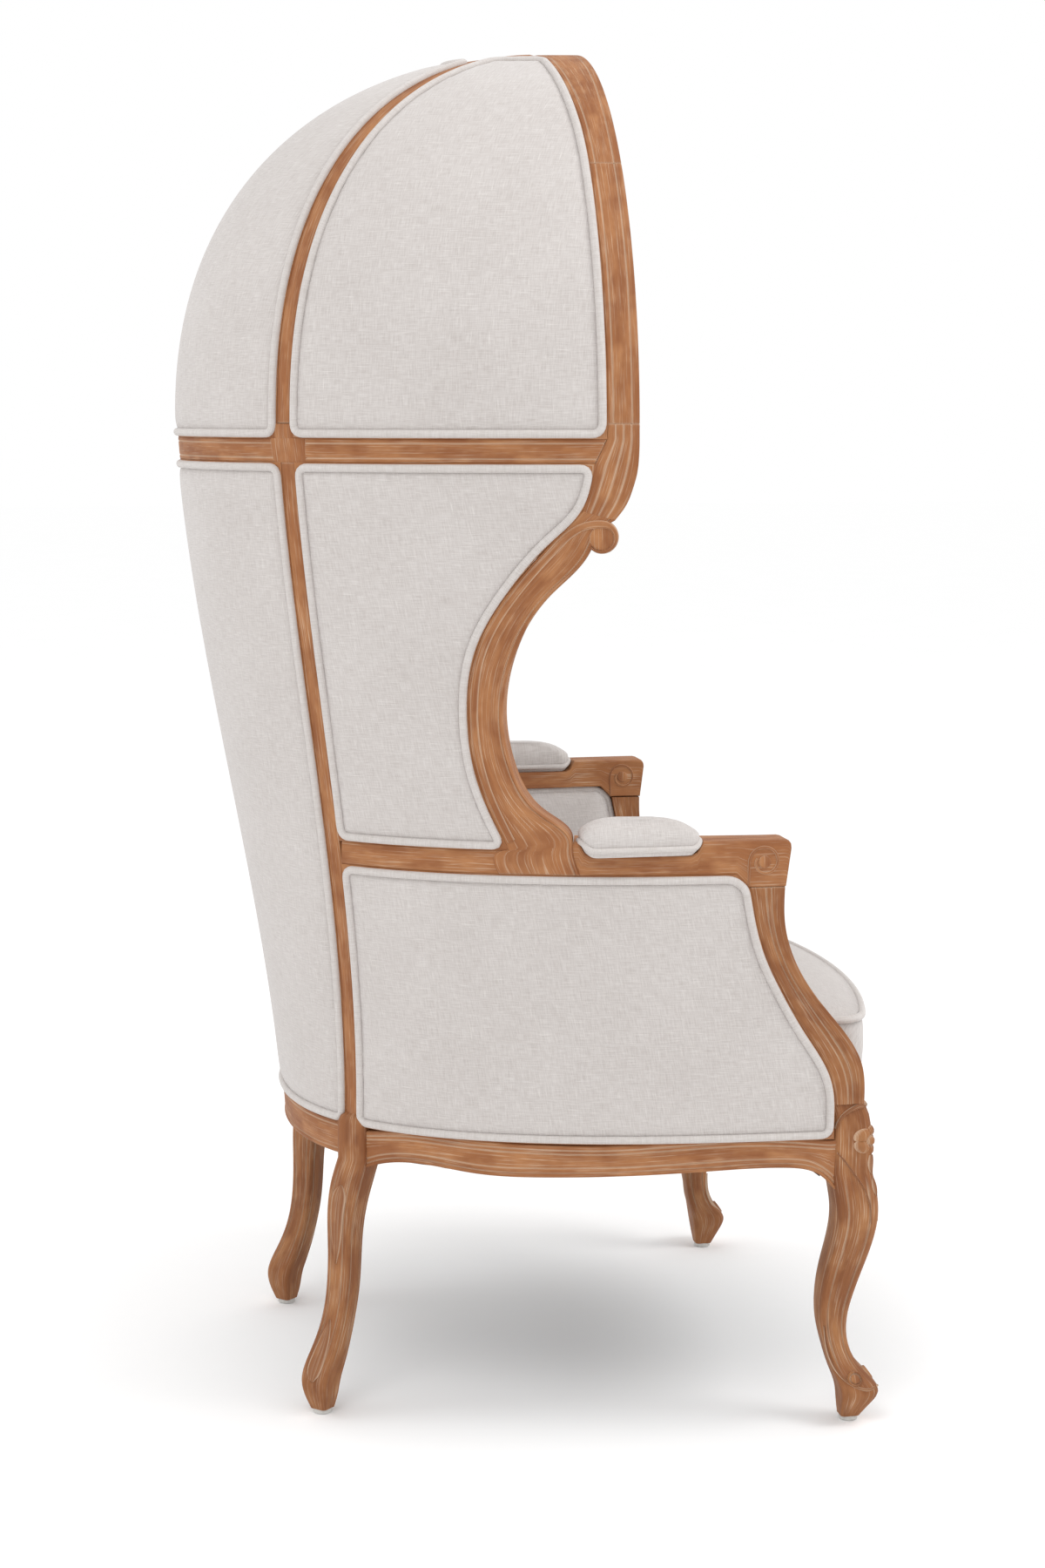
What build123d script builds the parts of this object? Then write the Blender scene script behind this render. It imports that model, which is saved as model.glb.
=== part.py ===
from build123d import *
import os
from functools import lru_cache
from math import cos, hypot, pi, radians, sin

os.makedirs("parts", exist_ok=True)

# A hooded porter's chair in show-wood and linen. Millimetres, +Z up, the sitter looks along -Y.
# The origin is on the floor in the middle of the chair. The sitter's right is at -X.

# Overall sizes
height = 1580.0
hood_rise = 440.0
hood_depth = 475.0
hood_half_width = 360.0
arm_half_width = 380.0
seat_half_width = 355.0
arm_height = 691.0
arch_front = -73.0
cheek_front = -346.5
back_at_seat = 282.5
back_slope_share = 0.06

# Levels of the frame
rail_bottom = 300.0
rail_show = 40.0
rail_height = 80.0
hood_rail_drop = 34.0
hood_rail_width = 27.0
hood_joint_rise = 16.0
arm_rail_depth = 38.0
arm_joint_drop = 15.0
wing_sill_drop = 10.0
pad_recess = 15.0
crown_joint_rise = 294.0
gore_top_drop = 12.0

# Thicknesses of the wall, measured inwards from the outer face of the show-wood
wood_thickness = 34.0
arm_thickness = 46.0
panel_proud = 3.0
panel_depth = 9.0
lining_depth = 50.0
wing_pad_depth = 40.0
back_pad_depth = 74.0
webbing_thickness = 2.4
web_width = 50.0
web_count = 6

# Fits
gap = 0.3
overrun = 60.0

# Show-wood widths in the side view
stile_half = 9.75
arch_depth = 36.5
arch_deepening = 15.0
block_front = 11.0
block_rear = 4.5
wing_joint_set = 49.5
wing_throat = 147.5
volute_radius = 18.0
volute_behind_arch = 41.8
volute_rise = 336.0
arm_tip = 172.0
arm_block_depth = 48.5
arm_scroll_radius = 17.0
arm_scroll_set = 32.0
arm_scroll_drop = 24.0
arm_scroll_proud = 2.5
support_sweep = 103.0
support_top_set = 7.0
corner_round = 14.0
piping_width = 9.0
piping_proud = 4.5

# Legs
leg_width = 48.0
front_leg_set = 20.0
front_leg_back = 17.5
leg_sweep = 20.0
rear_leg_width = 40.0
rear_leg_fore = 65.0
rear_leg_kick = 52.0
rear_kick_lean_share = 0.43
glide_height = 6.0
glide_radius = 11.0
glide_round = 2.0
nail_radius = 1.5
nail_length = 18.0

# Front seat rail
front_rail_thickness = 28.0
front_rail_set = 6.0
front_rail_bow = 58.0

# Joinery
dowel_radius = 4.0
dowel_length = 44.0
dowel_low = 22.0
dowel_high = 60.0
block_height = 46.0
block_set = 22.0
block_leg = 78.0
screw_radius = 2.4
screw_length = 46.0
screw_spread = 6.0

# Seat
seat_overhang = 2.0
seat_bow = 61.0
seat_corner_radius = 26.0
seat_edge_height = 469.0
seat_crown = 27.0
seat_bulge = 3.5
seat_piping_radius = 4.0
hessian_thickness = 1.5
cover_thickness = 1.3
cover_set = 12.0
spring_count = 5
spring_pitch = 48.0
spring_wave = 16.0
spring_step = 20.0
spring_bend = 8.5
spring_wire = 1.9
spring_bearing = 20.0
clip_width = 14.0
clip_length = 12.0
clip_height = 7.0

# Arm pads
arm_pad_length = 133.0
arm_pad_width = 48.0
arm_pad_rise = 41.0
pad_rear_set = 8.0
pad_play = 2.0
arm_pad_corner = 12.0
pad_piping_height = 8.0
pad_piping_width = 3.0

# Shapes, as shares of the sizes that they follow
plan_fullness_share = (0.69, 0.57)
arch_power = 1.95
side_power = 2.3
rib_place_share = 0.788
stile_foot_share = 0.907
rear_leg_spread_share = 0.51549
stile_bow_share = 0.026
dome_angles = (0, 12, 24, 36, 47, 57, 66, 74, 80, 84.5, 87.5)
wing_front_share = (
    (0.360, 0.718), (0.661, 0.606), (0.904, 0.476), (1.0, 0.323),
    (0.928, 0.176), (0.713, 0.069), (0.490, 0.0),
)
wing_back_share = (
    (0.352, 0.899), (0.432, 0.811), (0.661, 0.733), (0.953, 0.620), (1.194, 0.475),
    (1.254, 0.322), (1.182, 0.151), (0.989, 0.020),
)
shoulder_front_share = ((0.0, 0.971), (0.020, 0.898), (0.047, 0.867), (0.100, 0.825), (0.185, 0.788))
support_front_share = (
    (0.0, 1.0), (0.006, 0.854), (0.100, 0.704), (0.274, 0.569), (0.565, 0.416),
    (0.797, 0.300), (0.964, 0.170), (1.0, 0.0),
)
support_back_share = (
    (-0.398, 1.0), (-0.288, 0.794), (-0.184, 0.674), (-0.042, 0.559), (0.300, 0.327),
    (0.567, 0.154), (0.632, 0.075), (0.655, 0.0),
)
# Height, outward sweep and width of each section of a front leg
front_leg_share = (
    (0.0, 0.20, 0.46), (0.055, 0.40, 0.71), (0.117, 0.55, 0.92), (0.185, 0.05, 0.75),
    (0.266, -0.45, 0.60), (0.371, -0.675, 0.667), (0.476, -0.575, 0.80), (0.592, -0.275, 0.917),
    (0.711, 0.10, 0.98), (0.847, 0.30, 1.02), (0.949, 0.125, 1.03), (1.0, 0.0, 1.0),
)
# Height, backward kick and width of each section of a rear leg
rear_leg_share = (
    (0.0, 0.93, 0.55), (0.055, 0.955, 0.78), (0.117, 0.955, 0.92), (0.164, 0.89, 0.95),
    (0.246, 0.72, 0.88), (0.35, 0.54, 0.79), (0.483, 0.41, 0.78), (0.65, 0.36, 0.81),
    (0.80, 0.30, 0.92), (0.90, 0.18, 1.0), (1.0, 0.0, 1.0),
)
leg_round_share = 0.2
# Height and drawing-in of the seat pad's sections above its edge
seat_crown_share = ((0.45, 0.10), (0.80, 0.30), (1.0, 0.62))
pad_crown_share = ((0.0, 0.0), (0.45, 0.0), (0.80, 0.35), (1.0, 0.85))

# Spans of a redrawn curve
curve_spans = 8

# Levels and places that follow
springing = height - hood_rise
hood_rail_bottom = springing - hood_rail_drop
front_leg_x = seat_half_width - front_leg_set
front_leg_y = cheek_front + front_leg_back
rear_leg_x = seat_half_width * rear_leg_spread_share
rear_leg_y = back_at_seat - rear_leg_fore
seat_front = cheek_front - seat_overhang
rail_top = rail_bottom + rail_show
deck_level = rail_bottom + rail_height
hood_rail_top = hood_rail_bottom + hood_rail_width
hood_joint = hood_rail_top + hood_joint_rise
crown_joint = springing + crown_joint_rise
gore_top = height - gore_top_drop
arm_underside = arm_height - arm_rail_depth
arm_joint = arm_underside - arm_joint_drop
wing_sill = arm_height - wing_sill_drop
pad_seat = arm_height - pad_recess
arch_back = arch_front + arch_depth
arm_front = arch_front - arm_tip
support_front = arm_front + support_top_set
wall = (wood_thickness, wood_thickness)
side_reach = 1.25 * arm_half_width


def ease(share):
    """A smooth step from 0 to 1."""
    share = min(max(share, 0), 1)
    return share * share * (3 - 2 * share)


def between(low, high, share):
    return low + (high - low) * share


def rise_share(z):
    """Height of a level between the seat rail and the hood's springing."""
    return min(max((z - rail_bottom) / (springing - rail_bottom), 0), 1)


def half_width(z):
    """Half the width of the chair's wall, which swells at the arms."""
    if z < arm_height:
        return between(seat_half_width, arm_half_width, ease((z - rail_bottom) / (arm_height - rail_bottom)))
    return between(arm_half_width, hood_half_width, ease((z - arm_height) / (springing - arm_height)))


def back_line(z):
    """The raked back in the middle plane, an S curve that leaves both ends at the same slope."""
    t = rise_share(z)
    slope = back_slope_share * (springing - rail_bottom)
    lean = slope * ((t - 2 * t * t + t**3) + (t**3 - t * t))
    return between(back_at_seat, arch_front + hood_depth, ease(t)) + lean


def dome_share(up, power):
    """How much of its spread the dome keeps at a share of its rise."""
    return (1 - min(max(up, 0), 1) ** power) ** (1 / power)


def wall_plan(z, side, back):
    """Half width, where the cheek starts to curve, the back and the fullness of the plan curve."""
    t = rise_share(z)
    cheek = between(cheek_front, arch_front, t)
    fullness = between(*plan_fullness_share, 1 - (1 - t) ** 2)
    if z <= springing:
        return half_width(z) - side, cheek, back_line(z) - back, fullness
    up = (z - springing) / (hood_rise - (side + back) / 2)
    half = (hood_half_width - side) * dome_share(up, arch_power)
    rear = arch_front + (hood_depth - back) * dome_share(up, side_power)
    return half, cheek, rear, fullness


def wall_section(z, side, back):
    """The closed plan of the wall at one height: straight cheeks in front, a full round back."""
    half, cheek, rear, fullness = wall_plan(z, side, back)
    front = cheek_front - side_reach / 2
    shoulder = cheek + fullness * (rear - cheek)
    with BuildSketch(Plane.XY.offset(z)) as plan:
        with BuildLine():
            Bezier((-half, cheek), (-half, shoulder), (-fullness * half, rear), (0, rear))
            Bezier((0, rear), (fullness * half, rear), (half, shoulder), (half, cheek))
            Polyline((half, cheek), (half, front), (-half, front), (-half, cheek))
        make_face()
    return plan.sketch


@lru_cache(maxsize=None)
def body_form(side, back):
    """The chair as a solid from below the seat rail to just above the hood rail."""
    low = rail_bottom - rail_show / 4
    levels = 10
    with BuildPart() as form:
        for i in range(levels):
            add(wall_section(between(low, hood_joint, i / (levels - 1)), side, back))
        loft()
    return form.part


@lru_cache(maxsize=None)
def hood_form(side, back):
    """The hood as a solid quarter dome, from under the hood rail to the crown."""
    rise = hood_rise - (side + back) / 2
    with BuildPart() as form:
        for z in (hood_rail_bottom - hood_joint_rise, springing - hood_joint_rise):
            add(wall_section(z, side, back))
        for angle in dome_angles:
            add(wall_section(springing + rise * sin(radians(angle)), side, back))
        loft()
    return form.part


def wall_slice(outline, form, outer, inner, both=False):
    """The wall between two depths that an outline drawn in the side view encloses."""
    with BuildPart() as piece:
        add(form(*outer))
        with BuildSketch(Plane.YZ):
            add(outline)
        extrude(amount=side_reach if both else -side_reach, both=both, mode=Mode.INTERSECT)
        add(form(*inner), mode=Mode.SUBTRACT)
    return piece.part


def save(piece, label):
    piece.label = label
    export_step(piece, f"parts/{label}.step")


def mirrored(piece):
    """The same piece for the sitter's left."""
    with BuildPart() as other:
        add(piece)
        mirror(about=Plane.YZ, mode=Mode.REPLACE)
    return other.part


def save_pair(piece, label):
    save(mirrored(piece), f"{label}_left")
    save(piece, f"{label}_right")


# Lines of the frame in the side view, where x is the chair's Y and y is its Z
def stile_place(z):
    """The middle of the rear stile, and of the rib above it."""
    _, cheek, rear, _ = wall_plan(z, 0, 0)
    t = min(max((z - rail_top) / (hood_rail_bottom - rail_top), 0), 1)
    place = between(stile_foot_share, rib_place_share, t) - stile_bow_share * t * (1 - t)
    return cheek + place * (rear - cheek)


def stile_line(shift, low, high, points=9):
    levels = (between(low, high, i / (points - 1)) for i in range(points))
    return [(stile_place(z) + shift, z) for z in levels]


def rib_line(shift, low, high, points=14):
    """The rib's line over the dome, with its levels closing up towards the crown."""
    first = (low - springing) / hood_rise
    last = (high - springing) / hood_rise
    angles = (pi / 2 * i / (points - 1) for i in range(points))
    levels = [springing + hood_rise * between(first, last, sin(angle)) for angle in angles]
    return [(stile_place(z) + shift, z) for z in levels]


def arch_back_place(z):
    """The back edge of the arch, which deepens towards the crown."""
    up = max((z - crown_joint) / (height - crown_joint), 0)
    return arch_back + arch_deepening * up * up


def arch_back_line(low, high, points=12):
    levels = (between(low, high, i / (points - 1)) for i in range(points))
    return [(arch_back_place(z), z) for z in levels]


def wing_points(shares):
    rise = springing - arm_height
    return [(arch_front + y * wing_throat, arm_height + z * rise) for y, z in shares]


def support_points(shares):
    rise = arm_joint - deck_level
    return [(support_front - y * support_sweep, deck_level + z * rise) for y, z in shares]


def closed_outline(*runs):
    """A face from runs of points: two points make a straight edge, more make a smooth curve."""
    with BuildSketch() as outline:
        with BuildLine():
            for i, run in enumerate(runs):
                if len(run) > 2:
                    Spline(*run)
                else:
                    Line(*run)
                start = runs[(i + 1) % len(runs)][0]
                if hypot(run[-1][0] - start[0], run[-1][1] - start[1]) > gap / 100:
                    Line(run[-1], start)
        make_face()
    return outline.sketch_local


def inset(outline, amount):
    """The outline drawn in by an amount, with round corners, redrawn as plain lines, arcs and curves."""
    with BuildSketch() as smaller:
        add(outline)
        fillet(smaller.vertices(), corner_round)
        offset(amount=-amount, mode=Mode.REPLACE)
    with BuildSketch() as redrawn:
        with BuildLine():
            for edge in smaller.sketch_local.edges():
                if edge.geom_type == GeomType.LINE:
                    Line(edge @ 0, edge @ 1)
                elif edge.geom_type == GeomType.CIRCLE:
                    ThreePointArc(edge @ 0, edge @ 0.5, edge @ 1)
                else:
                    Spline(*[edge @ (i / curve_spans) for i in range(curve_spans + 1)])
        make_face()
    return redrawn.sketch_local


def ring(outline):
    """The piping's band just inside an opening."""
    with BuildSketch() as band:
        add(inset(outline, gap))
        add(inset(outline, gap + piping_width), mode=Mode.SUBTRACT)
    return band.sketch_local


# Openings of the frame, each drawn once for the wood, the piping and the panel in it
wing_back = wing_points(wing_back_share)
wing_top_corner = (arch_front + wing_joint_set, hood_rail_bottom)
wing_foot_back = (wing_back[-1][0] - wing_sill_drop / 2, wing_sill)
wing_opening = closed_outline(
    [wing_top_corner, *wing_back[1:-1], wing_foot_back],
    [wing_foot_back, (stile_place(wing_sill) - stile_half, wing_sill)],
    stile_line(-stile_half, wing_sill, hood_rail_bottom),
)
support_back = support_points(support_back_share)
arm_block_back = arm_front + arm_block_depth
arm_opening = closed_outline(
    [(stile_place(arm_underside) - stile_half, arm_underside), (arm_block_back + arm_joint_drop, arm_underside)],
    [(arm_block_back + arm_joint_drop, arm_underside), support_back[0]],
    support_back,
    [support_back[-1], (support_back[-1][0], rail_top)],
    [(support_back[-1][0], rail_top), (stile_place(rail_top) - stile_half, rail_top)],
    stile_line(-stile_half, rail_top, arm_underside),
)
gore_opening = closed_outline(
    [(arch_back, hood_rail_top), (stile_place(hood_rail_top) - stile_half, hood_rail_top)],
    rib_line(-stile_half, hood_rail_top, gore_top),
    [(stile_place(gore_top) - stile_half, gore_top), (arch_back_place(gore_top), gore_top)],
    arch_back_line(hood_rail_top, gore_top)[::-1],
)
behind = back_line(springing) + overrun
back_opening = closed_outline(
    stile_line(stile_half, rail_top, hood_rail_bottom),
    [(behind, hood_rail_bottom), (behind, rail_top)],
)
hood_back_opening = closed_outline(
    rib_line(stile_half, hood_rail_top, gore_top),
    [(stile_place(gore_top) + stile_half, height + overrun), (behind, height + overrun)],
    [(behind, height + overrun), (behind, hood_rail_top)],
)

# Legs, with the nails of their glides and the screws of the corner blocks
front_glide = (-front_leg_x - leg_sweep * front_leg_share[0][1], front_leg_y - leg_sweep * front_leg_share[0][1])
rear_kick_y = rear_leg_kick * rear_leg_share[0][1]
rear_glide = (-rear_leg_x - rear_kick_lean_share * rear_kick_y, rear_leg_y + rear_kick_y)
glide_places = [(side * x, y) for x, y in (front_glide, rear_glide) for side in (1, -1)]

with BuildPart() as glides:
    with Locations(*[(x, y, 0) for x, y in glide_places]):
        Cylinder(glide_radius, glide_height, align=(Align.CENTER, Align.CENTER, Align.MIN))
    fillet(glides.edges().group_by(Axis.Z)[0], glide_round)
    with Locations(*[(x, y, glide_height) for x, y in glide_places]):
        Cylinder(nail_radius, nail_length, align=(Align.CENTER, Align.CENTER, Align.MIN))
save(glides.part, "glides")


def leg_section(z, x, y, width, turn):
    with BuildSketch(Plane((x, y, z))) as section:
        RectangleRounded(width, width, leg_round_share * width, rotation=turn)
    return section.sketch


front_level = deck_level + block_set - rail_height
screw_levels = [front_level + block_height / 2 + side * screw_spread for side in (1, -1)]
front_screw_heading = 45
rear_screw_heading = 130


def screw_row(x, y, heading):
    """Two screws through a corner block into the leg, one above the other."""
    with BuildPart() as screws:
        for z in screw_levels:
            along = (cos(radians(heading)), sin(radians(heading)), 0)
            with BuildSketch(Plane(origin=(x, y, z), z_dir=along)):
                Circle(screw_radius)
        extrude(amount=screw_length)
    return screws.part


front_screws = screw_row(-front_leg_x, front_leg_y, front_screw_heading)
rear_screws = screw_row(-rear_leg_x, rear_leg_y - 2 * screw_radius, rear_screw_heading - 180)

dowel_levels = [rail_bottom + dowel_low, rail_bottom + dowel_high]
side_rail_front = front_leg_y + leg_width / 2
front_rail_end = front_leg_x - leg_width / 2
side_dowel_x = -half_width(rail_bottom) + (panel_depth + wood_thickness) / 2
front_dowel_y = front_leg_y - leg_width / 2 + front_rail_set + front_rail_thickness / 2
arm_dowel_x = -half_width(arm_joint) + arm_thickness / 2
arm_dowel_y = (support_front + support_back[0][0]) / 2

with BuildPart() as right_dowels:
    with BuildSketch(Plane.XZ.offset(-side_rail_front)):
        with Locations(*[(side_dowel_x, z) for z in dowel_levels]):
            Circle(dowel_radius)
    with BuildSketch(Plane.YZ.offset(-front_rail_end)):
        with Locations(*[(front_dowel_y, z) for z in dowel_levels]):
            Circle(dowel_radius)
    with BuildSketch(Plane.XY.offset(arm_joint)):
        with Locations((arm_dowel_x, arm_dowel_y)):
            Circle(dowel_radius)
    extrude(amount=dowel_length / 2, both=True)
with BuildPart() as rail_dowels:
    add(right_dowels.part)
    mirror(about=Plane.YZ)
save(rail_dowels.part, "rail_dowels")

with BuildPart() as front_leg:
    for z_share, outward_share, width_share in front_leg_share:
        outward = leg_sweep * outward_share
        level = between(glide_height, rail_bottom, z_share)
        add(leg_section(level, -front_leg_x - outward, front_leg_y - outward, leg_width * width_share, 0))
    loft()
    with BuildSketch(Plane((-front_leg_x, front_leg_y, rail_bottom))):
        RectangleRounded(leg_width, leg_width, leg_round_share * leg_width)
    extrude(amount=rail_height)
    add(glides.part, mode=Mode.SUBTRACT)
    add(right_dowels.part, mode=Mode.SUBTRACT)
    add(front_screws, mode=Mode.SUBTRACT)
save_pair(front_leg.part, "front_leg")

with BuildPart() as rear_leg:
    for z_share, kick_share, width_share in rear_leg_share:
        kick = rear_leg_kick * kick_share
        level = between(glide_height, rail_bottom, z_share)
        x = -rear_leg_x - rear_kick_lean_share * kick
        add(leg_section(level, x, rear_leg_y + kick, rear_leg_width * width_share, 45))
    loft()
    with BuildSketch(Plane((-rear_leg_x, rear_leg_y, rail_bottom))):
        RectangleRounded(rear_leg_width, rear_leg_width, leg_round_share * rear_leg_width, rotation=45)
    extrude(amount=rail_show)
    add(glides.part, mode=Mode.SUBTRACT)
    add(rear_screws, mode=Mode.SUBTRACT)
save_pair(rear_leg.part, "rear_leg")

# Seat rails: the show face below, and above it a set-back ledge that carries the cover's edge
ledge = (panel_depth + gap, panel_depth + gap)
side_rail_face = closed_outline(
    [(side_rail_front, rail_bottom), (behind, rail_bottom)],
    [(behind, rail_top), (side_rail_front, rail_top)],
)
side_rail_ledge = closed_outline(
    [(side_rail_front, rail_top), (stile_place(rail_top) - stile_half, rail_top)],
    stile_line(-stile_half, rail_top, deck_level),
    [(stile_place(deck_level) - stile_half, deck_level), (side_rail_front, deck_level)],
)
with BuildPart() as side_rail:
    add(wall_slice(side_rail_face, body_form, (0, 0), wall))
    with Locations((0, rear_leg_y, rail_bottom)):
        Box(2 * rear_leg_x, side_reach, rail_show, align=(Align.CENTER, Align.CENTER, Align.MIN),
            mode=Mode.SUBTRACT)
    add(rear_leg.part, mode=Mode.SUBTRACT)
    add(wall_slice(side_rail_ledge, body_form, ledge, wall))
    add(right_dowels.part, mode=Mode.SUBTRACT)
    add(rear_screws, mode=Mode.SUBTRACT)
save_pair(side_rail.part, "seat_rail")

rear_rail_face = closed_outline(
    [(rear_leg_y - leg_width, rail_bottom), (behind, rail_bottom)],
    [(behind, rail_top), (rear_leg_y - leg_width, rail_top)],
)
rear_rail_ledge = closed_outline(
    stile_line(stile_half, rail_top, deck_level),
    [(behind, deck_level), (behind, rail_top)],
)
with BuildPart() as rear_rail:
    add(wall_slice(rear_rail_face, body_form, (0, 0), wall, both=True))
    with Locations((0, rear_leg_y, rail_bottom)):
        Box(2 * rear_leg_x, side_reach, rail_show, align=(Align.CENTER, Align.CENTER, Align.MIN),
            mode=Mode.INTERSECT)
    add(wall_slice(rear_rail_ledge, body_form, ledge, wall, both=True))
    for solid in (rear_leg.part, rear_screws):
        add(solid, mode=Mode.SUBTRACT)
        add(mirrored(solid), mode=Mode.SUBTRACT)
save(rear_rail.part, "seat_rail_rear")


def front_rail_plan():
    """The front rail bows forward between the legs."""
    face = front_leg_y - leg_width / 2 + front_rail_set
    rear = face + front_rail_thickness
    with BuildSketch() as plan:
        with BuildLine():
            ThreePointArc((-front_rail_end, face), (0, face - front_rail_bow), (front_rail_end, face))
            Line((front_rail_end, face), (front_rail_end, rear))
            ThreePointArc((front_rail_end, rear), (0, rear - front_rail_bow), (-front_rail_end, rear))
            Line((-front_rail_end, rear), (-front_rail_end, face))
        make_face()
    return plan.sketch_local


with BuildPart() as front_rail:
    with BuildSketch(Plane.XY.offset(rail_bottom)):
        add(front_rail_plan())
    extrude(amount=rail_height)
    with BuildSketch(Plane.XZ.offset(-front_leg_y)):
        with BuildLine():
            low = rail_bottom
            high = rail_bottom + rail_show / 4
            Spline((-front_rail_end, low), (-front_rail_end / 2, high), (0, low), (front_rail_end / 2, high),
                   (front_rail_end, low))
            Polyline((front_rail_end, low), (front_rail_end, low - overrun), (-front_rail_end, low - overrun),
                     (-front_rail_end, low))
        make_face()
    extrude(amount=side_reach, both=True, mode=Mode.SUBTRACT)
    add(rail_dowels.part, mode=Mode.SUBTRACT)
save(front_rail.part, "seat_rail_front")

# Corner blocks, screwed to the legs and fitted to the rails
front_block_plan = [
    (-front_leg_x, front_leg_y),
    (-front_leg_x, front_leg_y + leg_width / 2 + block_leg),
    (-front_leg_x + leg_width / 2 + block_leg, front_leg_y),
]
rear_block_plan = [
    (-rear_leg_x - block_leg, rear_leg_y - 1.2 * block_leg),
    (-rear_leg_x - block_leg, rear_leg_y + block_leg),
    (-rear_leg_x + block_leg, rear_leg_y + block_leg),
    (-rear_leg_x + block_leg, rear_leg_y),
]


def corner_block(plan, leg, screws):
    with BuildPart() as block:
        with BuildSketch(Plane.XY.offset(front_level)):
            with BuildLine():
                Polyline(*plan, close=True)
            make_face()
        extrude(amount=block_height)
        add(body_form(*wall), mode=Mode.INTERSECT)
        for solid in (leg, front_rail.part, screws):
            add(solid, mode=Mode.SUBTRACT)
    return block.solids().sort_by(SortBy.VOLUME)[-1]


with BuildPart() as corner_blocks:
    add(corner_block(front_block_plan, front_leg.part, front_screws))
    add(corner_block(rear_block_plan, rear_leg.part, rear_screws))
    mirror(about=Plane.YZ)
save(corner_blocks.part, "corner_blocks")

with BuildPart() as corner_screws:
    add(front_screws)
    add(rear_screws)
    mirror(about=Plane.YZ)
save(corner_screws.part, "corner_screws")

# Rear stiles, and the rails and blocks that meet them at the hood
stile_outline = closed_outline(
    stile_line(-stile_half, rail_top, hood_rail_bottom),
    stile_line(stile_half, rail_top, hood_rail_bottom)[::-1],
)
save_pair(wall_slice(stile_outline, body_form, (0, 0), wall), "rear_stile")

block_fore = stile_place(hood_rail_top) - stile_half - block_front
block_aft = stile_place(hood_rail_top) + stile_half + block_rear
rib_block_outline = closed_outline(
    [(block_fore, hood_rail_bottom), (block_aft, hood_rail_bottom)],
    [(block_aft, hood_rail_top), (stile_place(hood_rail_top) + stile_half, hood_rail_top)],
    [(stile_place(hood_joint) + stile_half, hood_joint), (stile_place(hood_joint) - stile_half, hood_joint)],
    [(stile_place(hood_rail_top) - stile_half, hood_rail_top), (block_fore, hood_rail_top)],
)
save_pair(wall_slice(rib_block_outline, hood_form, (0, 0), wall), "rib_block")

hood_rail_outline = closed_outline(
    [(wing_top_corner[0], hood_rail_bottom), (block_fore, hood_rail_bottom)],
    [(block_fore, hood_rail_top), (wing_top_corner[0], hood_rail_top)],
)
save_pair(wall_slice(hood_rail_outline, hood_form, (0, 0), wall), "hood_rail")

hood_rail_rear_outline = closed_outline(
    [(block_aft, hood_rail_bottom), (behind, hood_rail_bottom)],
    [(behind, hood_rail_top), (block_aft, hood_rail_top)],
)
save(wall_slice(hood_rail_rear_outline, hood_form, (0, 0), wall, both=True), "hood_rail_rear")

# The hood's ribs, arch posts and crown
rib_outline = closed_outline(
    rib_line(-stile_half, hood_joint, gore_top),
    [(stile_place(gore_top) - stile_half, gore_top), (arch_back_place(gore_top), gore_top)],
    [(arch_back_place(gore_top), gore_top), (arch_back_place(height), height)],
    [(arch_back_place(height), height), (arch_back + 2 * arch_deepening, height)],
    [(arch_back + 2 * arch_deepening, height), (stile_place(gore_top) + stile_half, gore_top)],
    rib_line(stile_half, hood_joint, gore_top)[::-1],
)
save_pair(wall_slice(rib_outline, hood_form, (0, 0), wall), "hood_rib")

arch_post_outline = closed_outline(
    [(arch_front, hood_joint), (arch_back, hood_joint)],
    [(arch_back, crown_joint), (arch_front, crown_joint)],
)
save_pair(wall_slice(arch_post_outline, hood_form, (0, 0), wall), "arch_post")

arch_crown_outline = closed_outline(
    [(arch_front, crown_joint), (arch_back, crown_joint)],
    arch_back_line(crown_joint, height),
    [(arch_back_place(height), height), (arch_front, height)],
)
save(wall_slice(arch_crown_outline, hood_form, (0, 0), wall, both=True), "arch_crown")

# The shoulder under each arch post, and the C-shaped wing frame with its volute
shoulder_front = wing_points(shoulder_front_share)
shoulder_outline = closed_outline(
    [(arch_front, hood_joint), shoulder_front[0]],
    shoulder_front,
    [shoulder_front[-1], wing_back[1]],
    [(wing_back[1][0] + stile_half, hood_rail_bottom), wing_top_corner],
    [wing_top_corner, (wing_top_corner[0], hood_rail_top)],
    [(wing_top_corner[0], hood_rail_top), (arch_back, hood_rail_top)],
    [(arch_back, hood_rail_top), (arch_back, hood_joint)],
)
with BuildSketch() as shoulder_side:
    add(shoulder_outline)
    add(wing_opening, mode=Mode.SUBTRACT)
save_pair(wall_slice(shoulder_side.sketch_local, body_form, (0, 0), wall), "hood_shoulder")

wing_front = wing_points(wing_front_share)
wing_foot_front = (wing_front[-1][0], wing_sill)
wing_frame_reach = arch_front + 1.5 * wing_throat
volute_centre = (arch_front + volute_behind_arch, arm_height + volute_rise)
with BuildSketch() as wing_frame_outline:
    add(closed_outline(
        [shoulder_front[-1], volute_centre],
        [volute_centre, wing_front[0]],
        wing_front,
        [wing_front[-1], wing_foot_front],
        [wing_foot_front, (wing_frame_reach, wing_sill)],
        [(wing_frame_reach, wing_back[1][1]), wing_back[1]],
        [wing_back[1], shoulder_front[-1]],
    ))
    with Locations(volute_centre):
        Circle(volute_radius)
    add(shoulder_outline, mode=Mode.SUBTRACT)
    add(wing_opening, mode=Mode.SUBTRACT)
save_pair(wall_slice(wing_frame_outline.sketch_local, body_form, (0, 0), wall), "wing_frame")

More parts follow.
